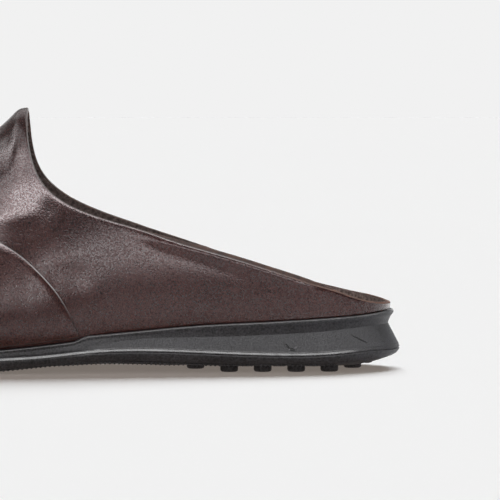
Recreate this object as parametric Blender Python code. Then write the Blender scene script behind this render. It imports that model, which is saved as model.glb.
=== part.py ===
"""A left mule in smooth leather on a moulded rubber sole, in metres, with +Z up.

The toe points along -X and the outer side of the foot, the lateral side, faces -Y. The shoe stands empty
on Z = 0, on the flat of its forefoot and on the studs of its heel. Sizes and tables are in millimetres.
A station is a distance along the shoe, counted forward from the back of the sole.
"""

import math
from collections import namedtuple

import bmesh
import bpy
import numpy as np
from mathutils import Vector

MM = 0.001
LATERAL, MEDIAL = -1, 1

# Driving dimensions
SHOE_LENGTH = 290.0
RIDGE_OUT = 3.5
HEEL_BACK = RIDGE_OUT
TOE_TIP = SHOE_LENGTH - RIDGE_OUT
UPPER_WALL = 2.0
VAMP_LEATHER = 1.2
GAP = 0.3

# Plan of the last: how its two ends are rounded off
HEEL_ROUND = 31.0
HEEL_POWER = 2.3
NOSE_LENGTH = 72.0
NOSE_POWER = 2.1
TOE_SWING = 7.0
SWING_START = 160.0

# Profile of the toe box
TOE_WALL = 6.0
TOE_BOX_LENGTH = 38.0
TOE_BOX_POWER = 2.4
BULGE_AT = 0.2

# Each row is one section of the last: half widths at the feather edge, the height of its crest above the
# floor, how full the section is (2 is an ellipse) and how far the wall bulges over the feather edge
Section = namedtuple("Section", "station lateral medial crest fullness bulge")
LAST = (
    Section(3.5, 31.0, 30.5, 91.0, 2.4, 0.8),
    Section(45.0, 31.5, 30.0, 98.5, 2.4, 1.0),
    Section(80.0, 33.0, 28.8, 101.0, 2.4, 1.2),
    Section(110.0, 36.4, 28.8, 100.0, 2.3, 1.2),
    Section(125.0, 39.0, 30.0, 96.2, 2.2, 1.6),
    Section(132.8, 40.3, 31.1, 93.0, 2.15, 1.8),
    Section(135.6, 40.8, 31.5, 92.4, 2.15, 1.9),
    Section(138.8, 41.4, 32.1, 89.6, 2.15, 2.0),
    Section(142.7, 42.1, 32.8, 86.0, 2.15, 2.2),
    Section(154.0, 44.0, 35.2, 79.0, 2.15, 2.3),
    Section(180.0, 47.6, 40.8, 66.2, 2.15, 2.4),
    Section(205.0, 49.9, 43.8, 56.4, 2.2, 2.4),
    Section(230.0, 49.2, 45.2, 49.0, 2.3, 2.2),
    Section(258.0, 45.5, 44.2, 43.6, 2.45, 1.9),
    Section(286.5, 42.0, 42.0, 40.0, 2.5, 1.6),
)

# Each row is one station of the sole's side: the ridge at the widest line, the wedge facet that stands on
# it, the lip that the upper sits in, and how far the lip reaches out from the feather edge
SideRow = namedtuple("SideRow", "station ridge wedge lip lip_out")
SOLE_SIDE = (
    SideRow(3.5, 8.3, 6.8, 19.8, 1.5),
    SideRow(13.0, 8.0, 7.0, 18.7, 1.5),
    SideRow(23.0, 7.0, 7.6, 17.9, 1.5),
    SideRow(47.0, 6.5, 6.6, 16.4, 1.5),
    SideRow(71.0, 7.4, 5.1, 15.2, 1.5),
    SideRow(96.0, 8.1, 3.4, 13.0, 1.7),
    SideRow(111.0, 7.4, 1.7, 11.7, 2.0),
    SideRow(125.0, 6.0, 0.9, 10.2, 2.3),
    SideRow(143.0, 5.0, 0.9, 8.5, 2.4),
    SideRow(170.0, 4.3, 0.9, 7.6, 2.4),
    SideRow(205.0, 4.3, 0.9, 7.6, 2.4),
    SideRow(245.0, 6.8, 0.9, 10.2, 2.3),
    SideRow(286.5, 13.2, 0.9, 16.6, 2.2),
)
LIP_STEP = 1.5
LIP_STEP_STATION = 113.0
LIP_STEP_RUN = 6.0
SEAT_STEP_RUN = 16.0
LIP_RISE = 0.5
LIP_GAP = 0.5
LIP_DROP = 0.4
BAND_HOLLOW = 0.7
WEDGE_SLOPE = 0.52
GROOVE_DEPTH = 0.35

# Underside of the sole
STUD_HEIGHT = 2.2
ARCH_RISE = 1.3
ARCH_START, ARCH_TOP, TREAD_START, TREAD_END = 59.0, 103.0, 157.0, 205.0
HEEL_ROLL, HEEL_ROLL_START = 2.4, 22.0
TOE_SPRING = 9.0

# The sole's edge rounded under the ridge: how far in from the ridge, and the share of the height up to it
EdgeRow = namedtuple("EdgeRow", "inward up")
UNDER_EDGE = (
    EdgeRow(0.2, 0.60),
    EdgeRow(1.0, 0.25),
    EdgeRow(2.8, 0.04),
    EdgeRow(5.2, 0.0),
)

# Heel studs
STUD_RADIUS = 3.15
STUD_TAPER = 0.2
STUD_EDGE = 0.5
STUD_ROOT = 1.0
STUD_SIDES = 12
STUD_INSET = 5.5
STUD_PITCH = 11.8
STUD_RING_FRONT = 72.7
STUD_LEAST = 0.15
STUD_FADE_REAR = (8.0, 24.0)
STUD_FADE_FRONT = (84.0, 62.0)
INNER_STUD_SPREAD = 8.6
INNER_STUD_STATIONS = (31.0, 43.0, 55.0, 67.0)

# The topline, from the throat on the instep back to the heel, on both sides of the foot
TopRow = namedtuple("TopRow", "station lateral medial")
THROAT = 132.8
TOPLINE = (
    TopRow(132.4, 85.6, 83.0),
    TopRow(131.4, 79.4, 76.6),
    TopRow(129.4, 72.2, 71.0),
    TopRow(126.4, 66.7, 66.8),
    TopRow(121.0, 61.5, 62.2),
    TopRow(112.9, 57.0, 57.7),
    TopRow(98.9, 52.2, 52.3),
    TopRow(77.9, 46.4, 45.3),
    TopRow(56.9, 40.4, 38.2),
    TopRow(42.9, 35.9, 33.6),
    TopRow(28.9, 31.0, 29.2),
    TopRow(21.8, 28.0, 27.5),
    TopRow(14.7, 25.4, 26.0),
    TopRow(7.4, 23.8, 24.6),
    TopRow(3.5, 23.5, 23.5),
)

# The vamp's rear edge, seen from the side: it leaves the sole at the waist and crosses the instep
SeamRow = namedtuple("SeamRow", "station height")
SEAM_FOOT = 112.3
SEAM_CREST = 180.0
SEAM = (
    SeamRow(115.6, 18.9),
    SeamRow(121.4, 27.9),
    SeamRow(127.4, 34.9),
    SeamRow(133.8, 40.8),
    SeamRow(140.5, 45.4),
    SeamRow(160.0, 56.6),
)
VAMP_LIFT = 1.3
VAMP_GAP = 0.4

# Where the lines of points up the upper's wall begin to fan out, and where they stand upright again
THROAT_FOOT = 142.0
ANKLE = 67.0

# The insole's upper face, at its edge, and its crown along the middle
InsoleRow = namedtuple("InsoleRow", "station height")
INSOLE = (
    InsoleRow(6.0, 22.7),
    InsoleRow(16.0, 23.0),
    InsoleRow(46.0, 21.6),
    InsoleRow(80.0, 19.4),
    InsoleRow(110.0, 16.2),
    InsoleRow(140.0, 12.4),
    InsoleRow(170.0, 11.2),
    InsoleRow(210.0, 11.4),
    InsoleRow(250.0, 14.6),
    InsoleRow(284.0, 19.6),
)
INSOLE_INSET = UPPER_WALL + 0.5
INSOLE_EDGE = 0.9
INSOLE_CROWN = 0.8

# How finely the forms are divided
RING_SIDE = 42
FRONT_COLUMNS = 18
FAN_COLUMNS = 13
HEEL_COLUMNS = 12
UPPER_ROWS = 9
VAMP_COLUMNS = 24
VAMP_ROWS = 11
ROW_SPREAD = 1.2
CREST_SPREAD = 1.3
CAP_STRIPS = 6
DENSE = 400
NO_TURN = 1e-9

Finish = namedtuple("Finish", "colour roughness")
LEATHER = Finish((0.040, 0.020, 0.016, 1.0), 0.38)
RUBBER = Finish((0.018, 0.018, 0.020, 1.0), 0.50)
FOOTBED = Finish((0.085, 0.065, 0.055, 1.0), 0.80)


def spline(knots, values):
    """A natural cubic through the given points, as a function that holds still outside them."""
    x, y = np.asarray(knots, float), np.asarray(values, float)
    step = np.diff(x)
    matrix, right = np.eye(len(x)), np.zeros(len(x))
    for i in range(1, len(x) - 1):
        matrix[i, i - 1 : i + 2] = step[i - 1], 2 * (step[i - 1] + step[i]), step[i]
        right[i] = 6 * ((y[i + 1] - y[i]) / step[i] - (y[i] - y[i - 1]) / step[i - 1])
    bend = np.linalg.solve(matrix, right)

    def value(at):
        at = min(max(at, x[0]), x[-1])
        i = min(max(int(np.searchsorted(x, at)) - 1, 0), len(step) - 1)
        before, after, h = at - x[i], x[i + 1] - at, step[i]
        cubic = (bend[i] * after**3 + bend[i + 1] * before**3) / (6 * h)
        return cubic + (y[i] / h - bend[i] * h / 6) * after + (y[i + 1] / h - bend[i + 1] * h / 6) * before

    return value


def columns_of(table):
    """One smooth function of the station for each named column of a table."""
    stations = [row.station for row in table]
    return {name: spline(stations, [getattr(row, name) for row in table]) for name in table[0]._fields[1:]}


last = columns_of(LAST)
side = columns_of(SOLE_SIDE)
insole_top = columns_of(INSOLE)["height"]


def smooth_step(start, end, at):
    """0 at the start and 1 at the end, with an easy curve between them. The end may lie on either side."""
    share = min(max((at - start) / (end - start), 0.0), 1.0)
    return share * share * (3 - 2 * share)


def round_end(share, power):
    """1 on the flat, falling to 0 at the end as a rounded nose does. The share is 1 at the end."""
    share = min(max(share, 0.0), 1.0)
    return (1 - share**power) ** (1 / power)


def heel_end(station):
    return round_end((HEEL_BACK + HEEL_ROUND - station) / HEEL_ROUND, HEEL_POWER)


def toe_end(station):
    return round_end((station - TOE_TIP + NOSE_LENGTH) / NOSE_LENGTH, NOSE_POWER)


def half_width(station, foot_side):
    column = last["lateral"] if foot_side == LATERAL else last["medial"]
    return column(station) * heel_end(station) * toe_end(station)


def stepped(station, run):
    """The line of the lip, with its step up at the waist, where the wedge begins, spread over a run."""
    front = LIP_STEP_STATION + LIP_STEP_RUN / 2
    return side["lip"](station) + LIP_STEP * smooth_step(front, front - run, station)


def swing(station):
    """How far the middle of the last turns in towards the big toe."""
    return TOE_SWING * smooth_step(SWING_START, TOE_TIP, station)


def lip_height(station):
    return stepped(station, LIP_STEP_RUN)


def seat_height(station):
    return stepped(station, SEAT_STEP_RUN) - LIP_RISE


def feather_height(station):
    return seat_height(station) + GAP


def bottom_height(station):
    """The underside: stud height under the heel, an arch, the flat of the forefoot and the toe spring."""
    arch = ARCH_RISE * smooth_step(ARCH_START, ARCH_TOP, station)
    fall = (STUD_HEIGHT + ARCH_RISE) * smooth_step(ARCH_TOP, TREAD_START, station)
    roll = HEEL_ROLL * max(0.0, (HEEL_ROLL_START - station) / (HEEL_ROLL_START - HEEL_BACK)) ** 2
    spring = TOE_SPRING * max(0.0, (station - TREAD_END) / (TOE_TIP - TREAD_END)) ** 2
    return STUD_HEIGHT + arch - fall + roll + spring


def section_height(station):
    """Height of the crest over the feather edge, with the toe box rounded down to the toe's short wall."""
    full = last["crest"](station) - feather_height(station)
    share = (station - TOE_TIP + TOE_BOX_LENGTH) / TOE_BOX_LENGTH
    return TOE_WALL + (full - TOE_WALL) * round_end(share, TOE_BOX_POWER)


def last_point(station, turn):
    """A point on the last. The turn is -1 at the lateral feather edge, 0 on the crest and 1 medially."""
    angle = (1 - abs(turn)) * math.pi / 2
    power = 2 / last["fullness"](station)
    rise = math.sin(angle) ** power
    foot_side = LATERAL if turn < 0 else MEDIAL
    swell = last["bulge"](station) * rise / BULGE_AT * math.exp(1 - rise / BULGE_AT) * math.cos(angle)
    ends = heel_end(station) * toe_end(station)
    across = half_width(station, foot_side) * max(math.cos(angle), 0.0) ** power + swell * ends
    along = station + swell * ((1 - toe_end(station)) - (1 - heel_end(station)))
    height = feather_height(station) + section_height(station) * rise
    return Vector((SHOE_LENGTH / 2 - along, swing(station) + foot_side * across, height))


def turn_at(station, height):
    """How far from the crest, 0, towards the feather edge, 1, the last has this height at this station."""
    rise = (height - feather_height(station)) / section_height(station)
    rise = min(max(rise, 0.0), 1.0)
    return 1 - math.asin(rise ** (last["fullness"](station) / 2)) / (math.pi / 2)


def spaced(points, count, axes=2):
    """Count + 1 rows read evenly along a line of points. The first axes of each row are its place."""
    table = np.array(points, float)
    run = np.concatenate([[0.0], np.cumsum(np.linalg.norm(np.diff(table[:, :axes], axis=0), axis=1))])
    at = np.linspace(0.0, run[-1], count + 1)
    return np.stack([np.interp(at, run, column) for column in table.T], axis=1)


def feather_line(foot_side, count=RING_SIDE, front=TOE_TIP, rear=HEEL_BACK):
    """Points (station, y) evenly along one side of the feather edge, from the front to the rear."""
    middle, reach = (front + rear) / 2, (front - rear) / 2
    stations = [middle + reach * math.cos(math.pi * i / DENSE) for i in range(DENSE + 1)]
    return spaced([(s, swing(s) + foot_side * half_width(s, foot_side)) for s in stations], count)


def foot_stations(count, front, rear):
    """Stations along the feather edge, the mean of the two sides."""
    lateral, medial = (feather_line(foot_side, count, front, rear) for foot_side in (LATERAL, MEDIAL))
    return (lateral[:, 0] + medial[:, 0]) / 2


def topline(foot_side):
    """Closely spaced rows (x, y, z, station, turn) along the topline, from the throat to the heel."""
    name = "lateral" if foot_side == LATERAL else "medial"
    rows = [(THROAT, last["crest"](THROAT))] + [(row.station, getattr(row, name)) for row in TOPLINE]
    run = np.concatenate([[0.0], np.cumsum([math.dist(a, b) for a, b in zip(rows, rows[1:])])])
    station, height = spline(run, [row[0] for row in rows]), spline(run, [row[1] for row in rows])
    points = []
    for at in np.linspace(0.0, run[-1], DENSE):
        turn = turn_at(station(at), height(at))
        points.append((*last_point(station(at), foot_side * turn), station(at), turn))
    return np.array(points)


def seam_station(turn):
    """The station of the vamp's rear edge, at a turn from 0 on the crest to 1 at the feather edge."""
    return float(np.interp(turn, *seam_edge))


def seam_rows():
    """Closely spaced turns and stations along the vamp's rear edge, from the crest down to its foot."""
    rows = [(SEAM_FOOT, feather_height(SEAM_FOOT))] + list(SEAM) + [(SEAM_CREST, last["crest"](SEAM_CREST))]
    height = spline([row[0] for row in rows], [row[1] for row in rows])
    stations = np.linspace(SEAM_CREST, SEAM_FOOT, DENSE)
    return np.array([turn_at(station, height(station)) for station in stations]), stations


seam_edge = seam_rows()


def material(name, finish):
    made = bpy.data.materials.new(name)
    made.use_nodes = True
    shader = made.node_tree.nodes["Principled BSDF"]
    shader.inputs["Base Color"].default_value = finish.colour
    shader.inputs["Roughness"].default_value = finish.roughness
    shader.inputs["Metallic"].default_value = 0.0
    return made


def node(name, mesh, finish):
    """Makes the mesh, in millimetres, a named object of the shoe, in metres."""
    bmesh.ops.scale(mesh, vec=(MM, MM, MM), verts=mesh.verts)
    data = bpy.data.meshes.new(name)
    mesh.to_mesh(data)
    mesh.free()
    data.shade_smooth()
    made = bpy.data.objects.new(name, data)
    made.data.materials.append(material(name, finish))
    bpy.context.scene.collection.objects.link(made)
    return made


def sheet(*grids):
    """A mesh of four-sided faces over lines of points, with the points that coincide made one."""
    mesh = bmesh.new()
    for grid in grids:
        lines = [[mesh.verts.new(point) for point in line] for line in grid]
        for line, following in zip(lines, lines[1:]):
            for a, b, c, d in zip(line, line[1:], following[1:], following):
                mesh.faces.new((a, d, c, b))
    bmesh.ops.remove_doubles(mesh, verts=mesh.verts, dist=0.001)
    mesh.normal_update()
    return mesh


def thicken(made, thickness, outward):
    wall = made.modifiers.new("wall", "SOLIDIFY")
    wall.thickness = thickness * MM
    wall.offset = 1.0 if outward else -1.0
    wall.use_even_offset = True
    wall.use_quality_normals = True


def wall_columns(foot_side):
    """The lines up one wall of the upper: the station of the foot, and the station and turn of the top.

    They run up to the crest in front of the throat, where they stand closer, fan out along the topline and
    stand upright round the heel.
    """
    edge = topline(foot_side)
    columns = []
    for foot in foot_stations(FRONT_COLUMNS, TOE_TIP, THROAT_FOOT):
        ahead = ((foot - THROAT_FOOT) / (TOE_TIP - THROAT_FOOT)) ** CREST_SPREAD
        columns.append((foot, THROAT + (TOE_TIP - THROAT) * ahead, 0.0))
    fan = spaced(edge[edge[:, 3] >= ANKLE], FAN_COLUMNS, axes=3)
    feet = np.linspace(THROAT_FOOT, ANKLE, FAN_COLUMNS + 1)
    columns += [(foot, station, turn) for foot, (station, turn) in zip(feet[1:], fan[1:, 3:])]
    for foot in foot_stations(HEEL_COLUMNS, ANKLE, HEEL_BACK)[1:]:
        columns.append((foot, foot, np.interp(-foot, -edge[:, 3], edge[:, 4])))
    return columns


def wall_lines(foot_side):
    """Lines of points up one wall of the upper, each from the feather edge to its top."""
    lines = []
    for foot, top, top_turn in wall_columns(foot_side):
        line = []
        for row in range(UPPER_ROWS + 1):
            share = (row / UPPER_ROWS) ** ROW_SPREAD
            turn = max(1 - share * (1 - top_turn), NO_TURN)
            line.append(last_point(foot + (top - foot) * share, foot_side * turn))
        lines.append(line)
    return lines


def make_upper():
    """The upper's outer face, closed over the instep and open behind the throat, thickened inwards."""
    walls = sheet(wall_lines(LATERAL), [line[::-1] for line in wall_lines(MEDIAL)])
    thicken(node("upper", walls, LEATHER), UPPER_WALL, outward=False)


def vamp_lines(foot_side):
    """Lines of points over one side of the vamp, each from its lower edge to the crest."""
    lines = []
    for column in range(VAMP_COLUMNS + 1):
        share = 1 - math.cos(math.pi / 2 * column / VAMP_COLUMNS)
        line = []
        for row in range(VAMP_ROWS + 1):
            climb = (row / VAMP_ROWS) ** ROW_SPREAD
            station = TOE_TIP - (TOE_TIP - seam_station(1 - climb)) * share
            lowest = turn_at(station, feather_height(station) + VAMP_LIFT)
            line.append(last_point(station, foot_side * max(lowest * (1 - climb), NO_TURN)))
        lines.append(line)
    return lines


def make_vamp():
    """The vamp: a panel of leather laid over the front of the upper, whose rear edge shows as a step."""
    vamp = sheet(vamp_lines(LATERAL), [line[::-1] for line in vamp_lines(MEDIAL)])
    for vert, place in [(vert, vert.co + vert.normal * VAMP_GAP) for vert in vamp.verts]:
        vert.co = place
    thicken(node("vamp", vamp, LEATHER), VAMP_LEATHER, outward=True)


def ring():
    """(station, y, outward normal) round the feather edge, closed, from the toe down the lateral side."""
    lateral, medial = feather_line(LATERAL), feather_line(MEDIAL)
    line = np.concatenate([lateral, medial[-2:0:-1]])
    tangent = np.roll(line, -1, axis=0) - np.roll(line, 1, axis=0)
    normal = np.stack([-tangent[:, 1], tangent[:, 0]], axis=1)
    return line, normal / np.linalg.norm(normal, axis=1)[:, None]


def loop_at(mesh, outline, offset, height):
    """A closed loop of points outside the feather edge. Offset and height are functions of the station."""
    made = []
    for (station, y), normal in zip(*outline):
        place = np.array((station, y)) + normal * offset(station)
        made.append(mesh.verts.new((SHOE_LENGTH / 2 - place[0], place[1], height(station))))
    return made


def skin(mesh, loops):
    for upper, lower in zip(loops, loops[1:]):
        for i in range(len(upper)):
            after = (i + 1) % len(upper)
            mesh.faces.new((upper[i], lower[i], lower[after], upper[after]))


def cap(mesh, loop, crown, facing_up):
    """Closes a loop with strips from side to side, raised along the middle by the crown."""
    count = len(loop)
    strips = [[loop[0]]]
    for i in range(1, count // 2):
        left, right = loop[i], loop[count - i]
        inner = []
        for strip in range(1, CAP_STRIPS):
            share = strip / CAP_STRIPS
            place = left.co.lerp(right.co, share)
            place.z += crown * (1 - (2 * share - 1) ** 2)
            inner.append(mesh.verts.new(place))
        strips.append([left, *inner, right])
    strips.append([loop[count // 2]])
    for strip, following in zip(strips, strips[1:]):
        if len(strip) == 1 or len(following) == 1:
            tip, wide = (strip[0], following) if len(strip) == 1 else (following[0], strip)
            faces = [(tip, a, b) for a, b in zip(wide, wide[1:])]
        else:
            faces = [(a, c, d, b) for a, b, c, d in zip(strip, strip[1:], following, following[1:])]
        for corners in faces:
            face = mesh.faces.new(corners)
            face.normal_update()
            if (face.normal.z > 0) != facing_up:
                face.normal_flip()


def crease_out(station):
    return RIDGE_OUT - WEDGE_SLOPE * side["wedge"](station)


def crease_height(station):
    return side["ridge"](station) + side["wedge"](station)


def lip_edge(station):
    return lip_height(station) - LIP_DROP


def band_out(station):
    """The hollow band between the lip and the wedge facet, at its deepest line."""
    return (side["lip_out"](station) + crease_out(station)) / 2 - BAND_HOLLOW


def between(low, high, share):
    return lambda station: low(station) + (high(station) - low(station)) * share


def sole_rows():
    """The profile of the sole's side, from the seat to the underside: offset and height of each line."""
    ridge = side["ridge"]
    rows = [
        (lambda station: LIP_GAP, seat_height),
        (lambda station: LIP_GAP, lip_height),
        (side["lip_out"], lip_edge),
        (band_out, between(crease_height, lip_edge, 0.5)),
        (crease_out, crease_height),
        (lambda station: RIDGE_OUT - GROOVE_DEPTH, lambda station: ridge(station) + GROOVE_DEPTH),
        (lambda station: RIDGE_OUT, ridge),
    ]
    for inward, up in UNDER_EDGE:
        rows.append((lambda station, inward=inward: RIDGE_OUT - inward, between(bottom_height, ridge, up)))
    return rows


def stud_places():
    """(station, y) of each stud: a ring just inside the heel's edge, and two short rows within it."""
    line, normal = ring()
    inset = line - normal * STUD_INSET
    heel = len(line) // 2
    rows = (-INNER_STUD_SPREAD, INNER_STUD_SPREAD)
    places = [(station, y) for station in INNER_STUD_STATIONS for y in rows]
    for half in (inset[heel : heel - RING_SIDE // 2 : -1], inset[heel : heel + RING_SIDE // 2]):
        dense = spaced(half, DENSE)
        run = np.concatenate([[0.0], np.cumsum(np.linalg.norm(np.diff(dense, axis=0), axis=1))])
        front = run[np.argmin(abs(dense[:, 0] - STUD_RING_FRONT))]
        for at in np.arange(front, STUD_PITCH / 3, -STUD_PITCH):
            places.append(tuple(np.interp(at, run, dense[:, axis]) for axis in (0, 1)))
    return places


def stud_drop(station):
    """How far a stud stands below the sole. The studs at both ends of the heel are lower."""
    full = min(smooth_step(*STUD_FADE_REAR, station), smooth_step(*STUD_FADE_FRONT, station))
    return STUD_HEIGHT * (STUD_LEAST + (1 - STUD_LEAST) * full)


def make_studs():
    """All the studs as one helper mesh, each rooted a little way into the sole."""
    mesh = bmesh.new()
    turns = [2 * math.pi * i / STUD_SIDES for i in range(STUD_SIDES)]
    ways = [np.array((math.cos(turn), math.sin(turn))) for turn in turns]
    for station, y in stud_places():
        foot = bottom_height(station) - stud_drop(station)
        centre = np.array((SHOE_LENGTH / 2 - station, y))
        rims = (
            (STUD_RADIUS - STUD_TAPER - STUD_EDGE, foot),
            (STUD_RADIUS - STUD_TAPER, foot + STUD_EDGE),
            (STUD_RADIUS, bottom_height(station) + STUD_ROOT),
        )
        loops = []
        for radius, height in rims:
            loops.append([mesh.verts.new((*(centre + radius * way), height)) for way in ways])
        skin(mesh, loops[::-1])
        mesh.faces.new(loops[0][::-1])
        mesh.faces.new(loops[-1])
    bmesh.ops.recalc_face_normals(mesh, faces=mesh.faces)
    made = node("studs", mesh, RUBBER)
    made.hide_render = True
    made.display_type = "WIRE"
    return made


def make_sole():
    """The moulded sole: lip, hollow band, wedge facet, groove, ridge, rounded underside and studs."""
    mesh = bmesh.new()
    outline = ring()
    loops = [loop_at(mesh, outline, offset, height) for offset, height in sole_rows()]
    skin(mesh, loops)
    cap(mesh, loops[0], 0.0, facing_up=True)
    cap(mesh, loops[-1], 0.0, facing_up=False)
    bmesh.ops.recalc_face_normals(mesh, faces=mesh.faces)
    sole = node("sole", mesh, RUBBER)
    join = sole.modifiers.new("studs", "BOOLEAN")
    join.operation = "UNION"
    join.object = make_studs()


def make_insole():
    """The insole: a thin crowned pad that lies on the sole inside the upper."""
    mesh = bmesh.new()
    outline = ring()
    rows = (
        (-INSOLE_INSET - INSOLE_EDGE, insole_top),
        (-INSOLE_INSET, lambda s: insole_top(s) - INSOLE_EDGE),
        (-INSOLE_INSET, feather_height),
    )
    loops = [loop_at(mesh, outline, lambda s, out=offset: out, height) for offset, height in rows]
    skin(mesh, loops)
    cap(mesh, loops[0], INSOLE_CROWN, facing_up=True)
    cap(mesh, loops[-1], 0.0, facing_up=False)
    bmesh.ops.recalc_face_normals(mesh, faces=mesh.faces)
    node("insole", mesh, FOOTBED)


def main():
    for old in list(bpy.data.objects):
        bpy.data.objects.remove(old, do_unlink=True)
    make_sole()
    make_insole()
    make_upper()
    make_vamp()


main()
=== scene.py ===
# %% [markdown]
# # A leather mule, dressed on its CAD frame
# The frame is the CAD model of a left mule: sole, insole, upper and vamp, at their real size. This lesson
# makes the surface that the eye sees on the same last: leather with its creases and cut edges, a suede
# lining, and a moulded rubber sole with ribs and studs. The frame is loaded first and is never changed.

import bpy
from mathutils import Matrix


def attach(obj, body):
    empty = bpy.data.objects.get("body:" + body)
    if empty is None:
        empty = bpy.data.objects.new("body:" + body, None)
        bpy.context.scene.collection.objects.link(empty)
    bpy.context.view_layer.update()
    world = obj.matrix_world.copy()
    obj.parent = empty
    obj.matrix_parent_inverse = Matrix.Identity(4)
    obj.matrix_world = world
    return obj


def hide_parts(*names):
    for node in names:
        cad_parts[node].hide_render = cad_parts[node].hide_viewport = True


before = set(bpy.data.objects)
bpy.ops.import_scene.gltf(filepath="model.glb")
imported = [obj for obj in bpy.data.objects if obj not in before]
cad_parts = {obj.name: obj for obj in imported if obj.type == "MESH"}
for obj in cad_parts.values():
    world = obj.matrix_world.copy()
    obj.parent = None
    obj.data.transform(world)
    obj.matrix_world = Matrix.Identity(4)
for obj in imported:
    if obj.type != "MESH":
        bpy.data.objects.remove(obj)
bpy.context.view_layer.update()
MM = 0.001

# %% [markdown]
# ## The shoe's own sizes
# A shoemaker works from a last, a solid foot form that is known by its sections. The tables below are
# those of the CAD model, in millimetres, with the heel's wedge and the foot of the vamp's edge set a
# little closer to the photograph. A station is a distance from the back of the sole towards the toe.

# %% The last
import math
from collections import namedtuple

import bpy
import numpy as np
from mathutils import Vector
from mathutils.kdtree import KDTree

LATERAL, MEDIAL = -1, 1
SHOE_LENGTH = 290.0
RIDGE_OUT = 3.5
HEEL_BACK, TOE_TIP = RIDGE_OUT, SHOE_LENGTH - RIDGE_OUT
HEEL_ROUND, HEEL_POWER = 31.0, 2.3
NOSE_LENGTH, NOSE_POWER = 72.0, 2.1
TOE_SWING, SWING_START = 7.0, 160.0
TOE_WALL, TOE_BOX_LENGTH, TOE_BOX_POWER = 6.0, 38.0, 2.4
BULGE_AT = 0.2
GAP = 0.3

Section = namedtuple("Section", "station lateral medial crest fullness bulge")
LAST = (
    Section(3.5, 31.0, 30.5, 91.0, 2.4, 0.8),
    Section(45.0, 31.5, 30.0, 98.5, 2.4, 1.0),
    Section(80.0, 33.0, 28.8, 101.0, 2.4, 1.2),
    Section(110.0, 36.4, 28.8, 100.0, 2.3, 1.2),
    Section(125.0, 39.0, 30.0, 96.2, 2.2, 1.6),
    Section(132.8, 40.3, 31.1, 93.0, 2.15, 1.8),
    Section(135.6, 40.8, 31.5, 92.4, 2.15, 1.9),
    Section(138.8, 41.4, 32.1, 89.6, 2.15, 2.0),
    Section(142.7, 42.1, 32.8, 86.0, 2.15, 2.2),
    Section(154.0, 44.0, 35.2, 79.0, 2.15, 2.3),
    Section(180.0, 47.6, 40.8, 66.2, 2.15, 2.4),
    Section(205.0, 49.9, 43.8, 56.4, 2.2, 2.4),
    Section(230.0, 49.2, 45.2, 49.0, 2.3, 2.2),
    Section(258.0, 45.5, 44.2, 43.6, 2.45, 1.9),
    Section(286.5, 42.0, 42.0, 40.0, 2.5, 1.6),
)
print(len(LAST), "sections of the last")

# %% The side of the sole
SideRow = namedtuple("SideRow", "station ridge wedge lip lip_out")
SOLE_SIDE = (
    SideRow(3.5, 8.3, 8.0, 19.8, 1.5),
    SideRow(13.0, 8.0, 7.8, 18.7, 1.5),
    SideRow(23.0, 7.0, 7.8, 17.9, 1.5),
    SideRow(47.0, 6.5, 6.7, 16.4, 1.5),
    SideRow(71.0, 7.4, 5.1, 15.2, 1.5),
    SideRow(96.0, 8.1, 3.4, 13.0, 1.7),
    SideRow(111.0, 7.4, 1.7, 11.7, 2.0),
    SideRow(125.0, 6.0, 0.9, 10.2, 2.3),
    SideRow(143.0, 5.0, 0.9, 8.5, 2.4),
    SideRow(170.0, 4.3, 0.9, 7.6, 2.4),
    SideRow(205.0, 4.3, 0.9, 7.6, 2.4),
    SideRow(245.0, 6.8, 0.9, 10.2, 2.3),
    SideRow(286.5, 13.2, 0.9, 16.6, 2.2),
)
LIP_STEP, LIP_STEP_STATION, LIP_STEP_RUN, SEAT_STEP_RUN = 1.5, 113.0, 6.0, 16.0
LIP_RISE, LIP_GAP, LIP_DROP = 0.5, 0.5, 0.4
STUD_HEIGHT, ARCH_RISE = 2.2, 1.3
ARCH_START, ARCH_TOP, TREAD_START, TREAD_END = 59.0, 103.0, 157.0, 205.0
HEEL_ROLL, HEEL_ROLL_START, TOE_SPRING = 2.4, 22.0, 9.0
print(len(SOLE_SIDE), "stations of the sole's side")

# %% The cut lines of the upper
TopRow = namedtuple("TopRow", "station lateral medial")
THROAT = 132.8
TOPLINE = (
    TopRow(132.4, 85.6, 83.0),
    TopRow(131.4, 79.4, 76.6),
    TopRow(129.4, 72.2, 71.0),
    TopRow(126.4, 66.7, 66.8),
    TopRow(121.0, 61.5, 62.2),
    TopRow(112.9, 57.0, 57.7),
    TopRow(98.9, 52.2, 52.3),
    TopRow(77.9, 46.4, 45.3),
    TopRow(56.9, 40.4, 38.2),
    TopRow(42.9, 35.9, 33.6),
    TopRow(28.9, 31.0, 29.2),
    TopRow(21.8, 28.0, 27.5),
    TopRow(14.7, 25.4, 26.0),
    TopRow(7.4, 23.8, 24.6),
    TopRow(3.5, 23.5, 23.5),
)
SeamRow = namedtuple("SeamRow", "station height")
SEAM_FOOT, SEAM_CREST = 113.6, 180.0
SEAM = (
    SeamRow(116.3, 18.9),
    SeamRow(121.4, 27.9),
    SeamRow(127.4, 34.9),
    SeamRow(133.8, 40.8),
    SeamRow(140.5, 45.4),
    SeamRow(160.0, 56.6),
)
InsoleRow = namedtuple("InsoleRow", "station height")
INSOLE = (
    InsoleRow(6.0, 22.7),
    InsoleRow(16.0, 23.0),
    InsoleRow(46.0, 21.6),
    InsoleRow(80.0, 19.4),
    InsoleRow(110.0, 16.2),
    InsoleRow(140.0, 12.4),
    InsoleRow(170.0, 11.2),
    InsoleRow(210.0, 11.4),
    InsoleRow(250.0, 14.6),
    InsoleRow(284.0, 19.6),
)
print(len(TOPLINE), "points of the topline,", len(SEAM), "of the vamp's edge,", len(INSOLE), "of the insole")

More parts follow.
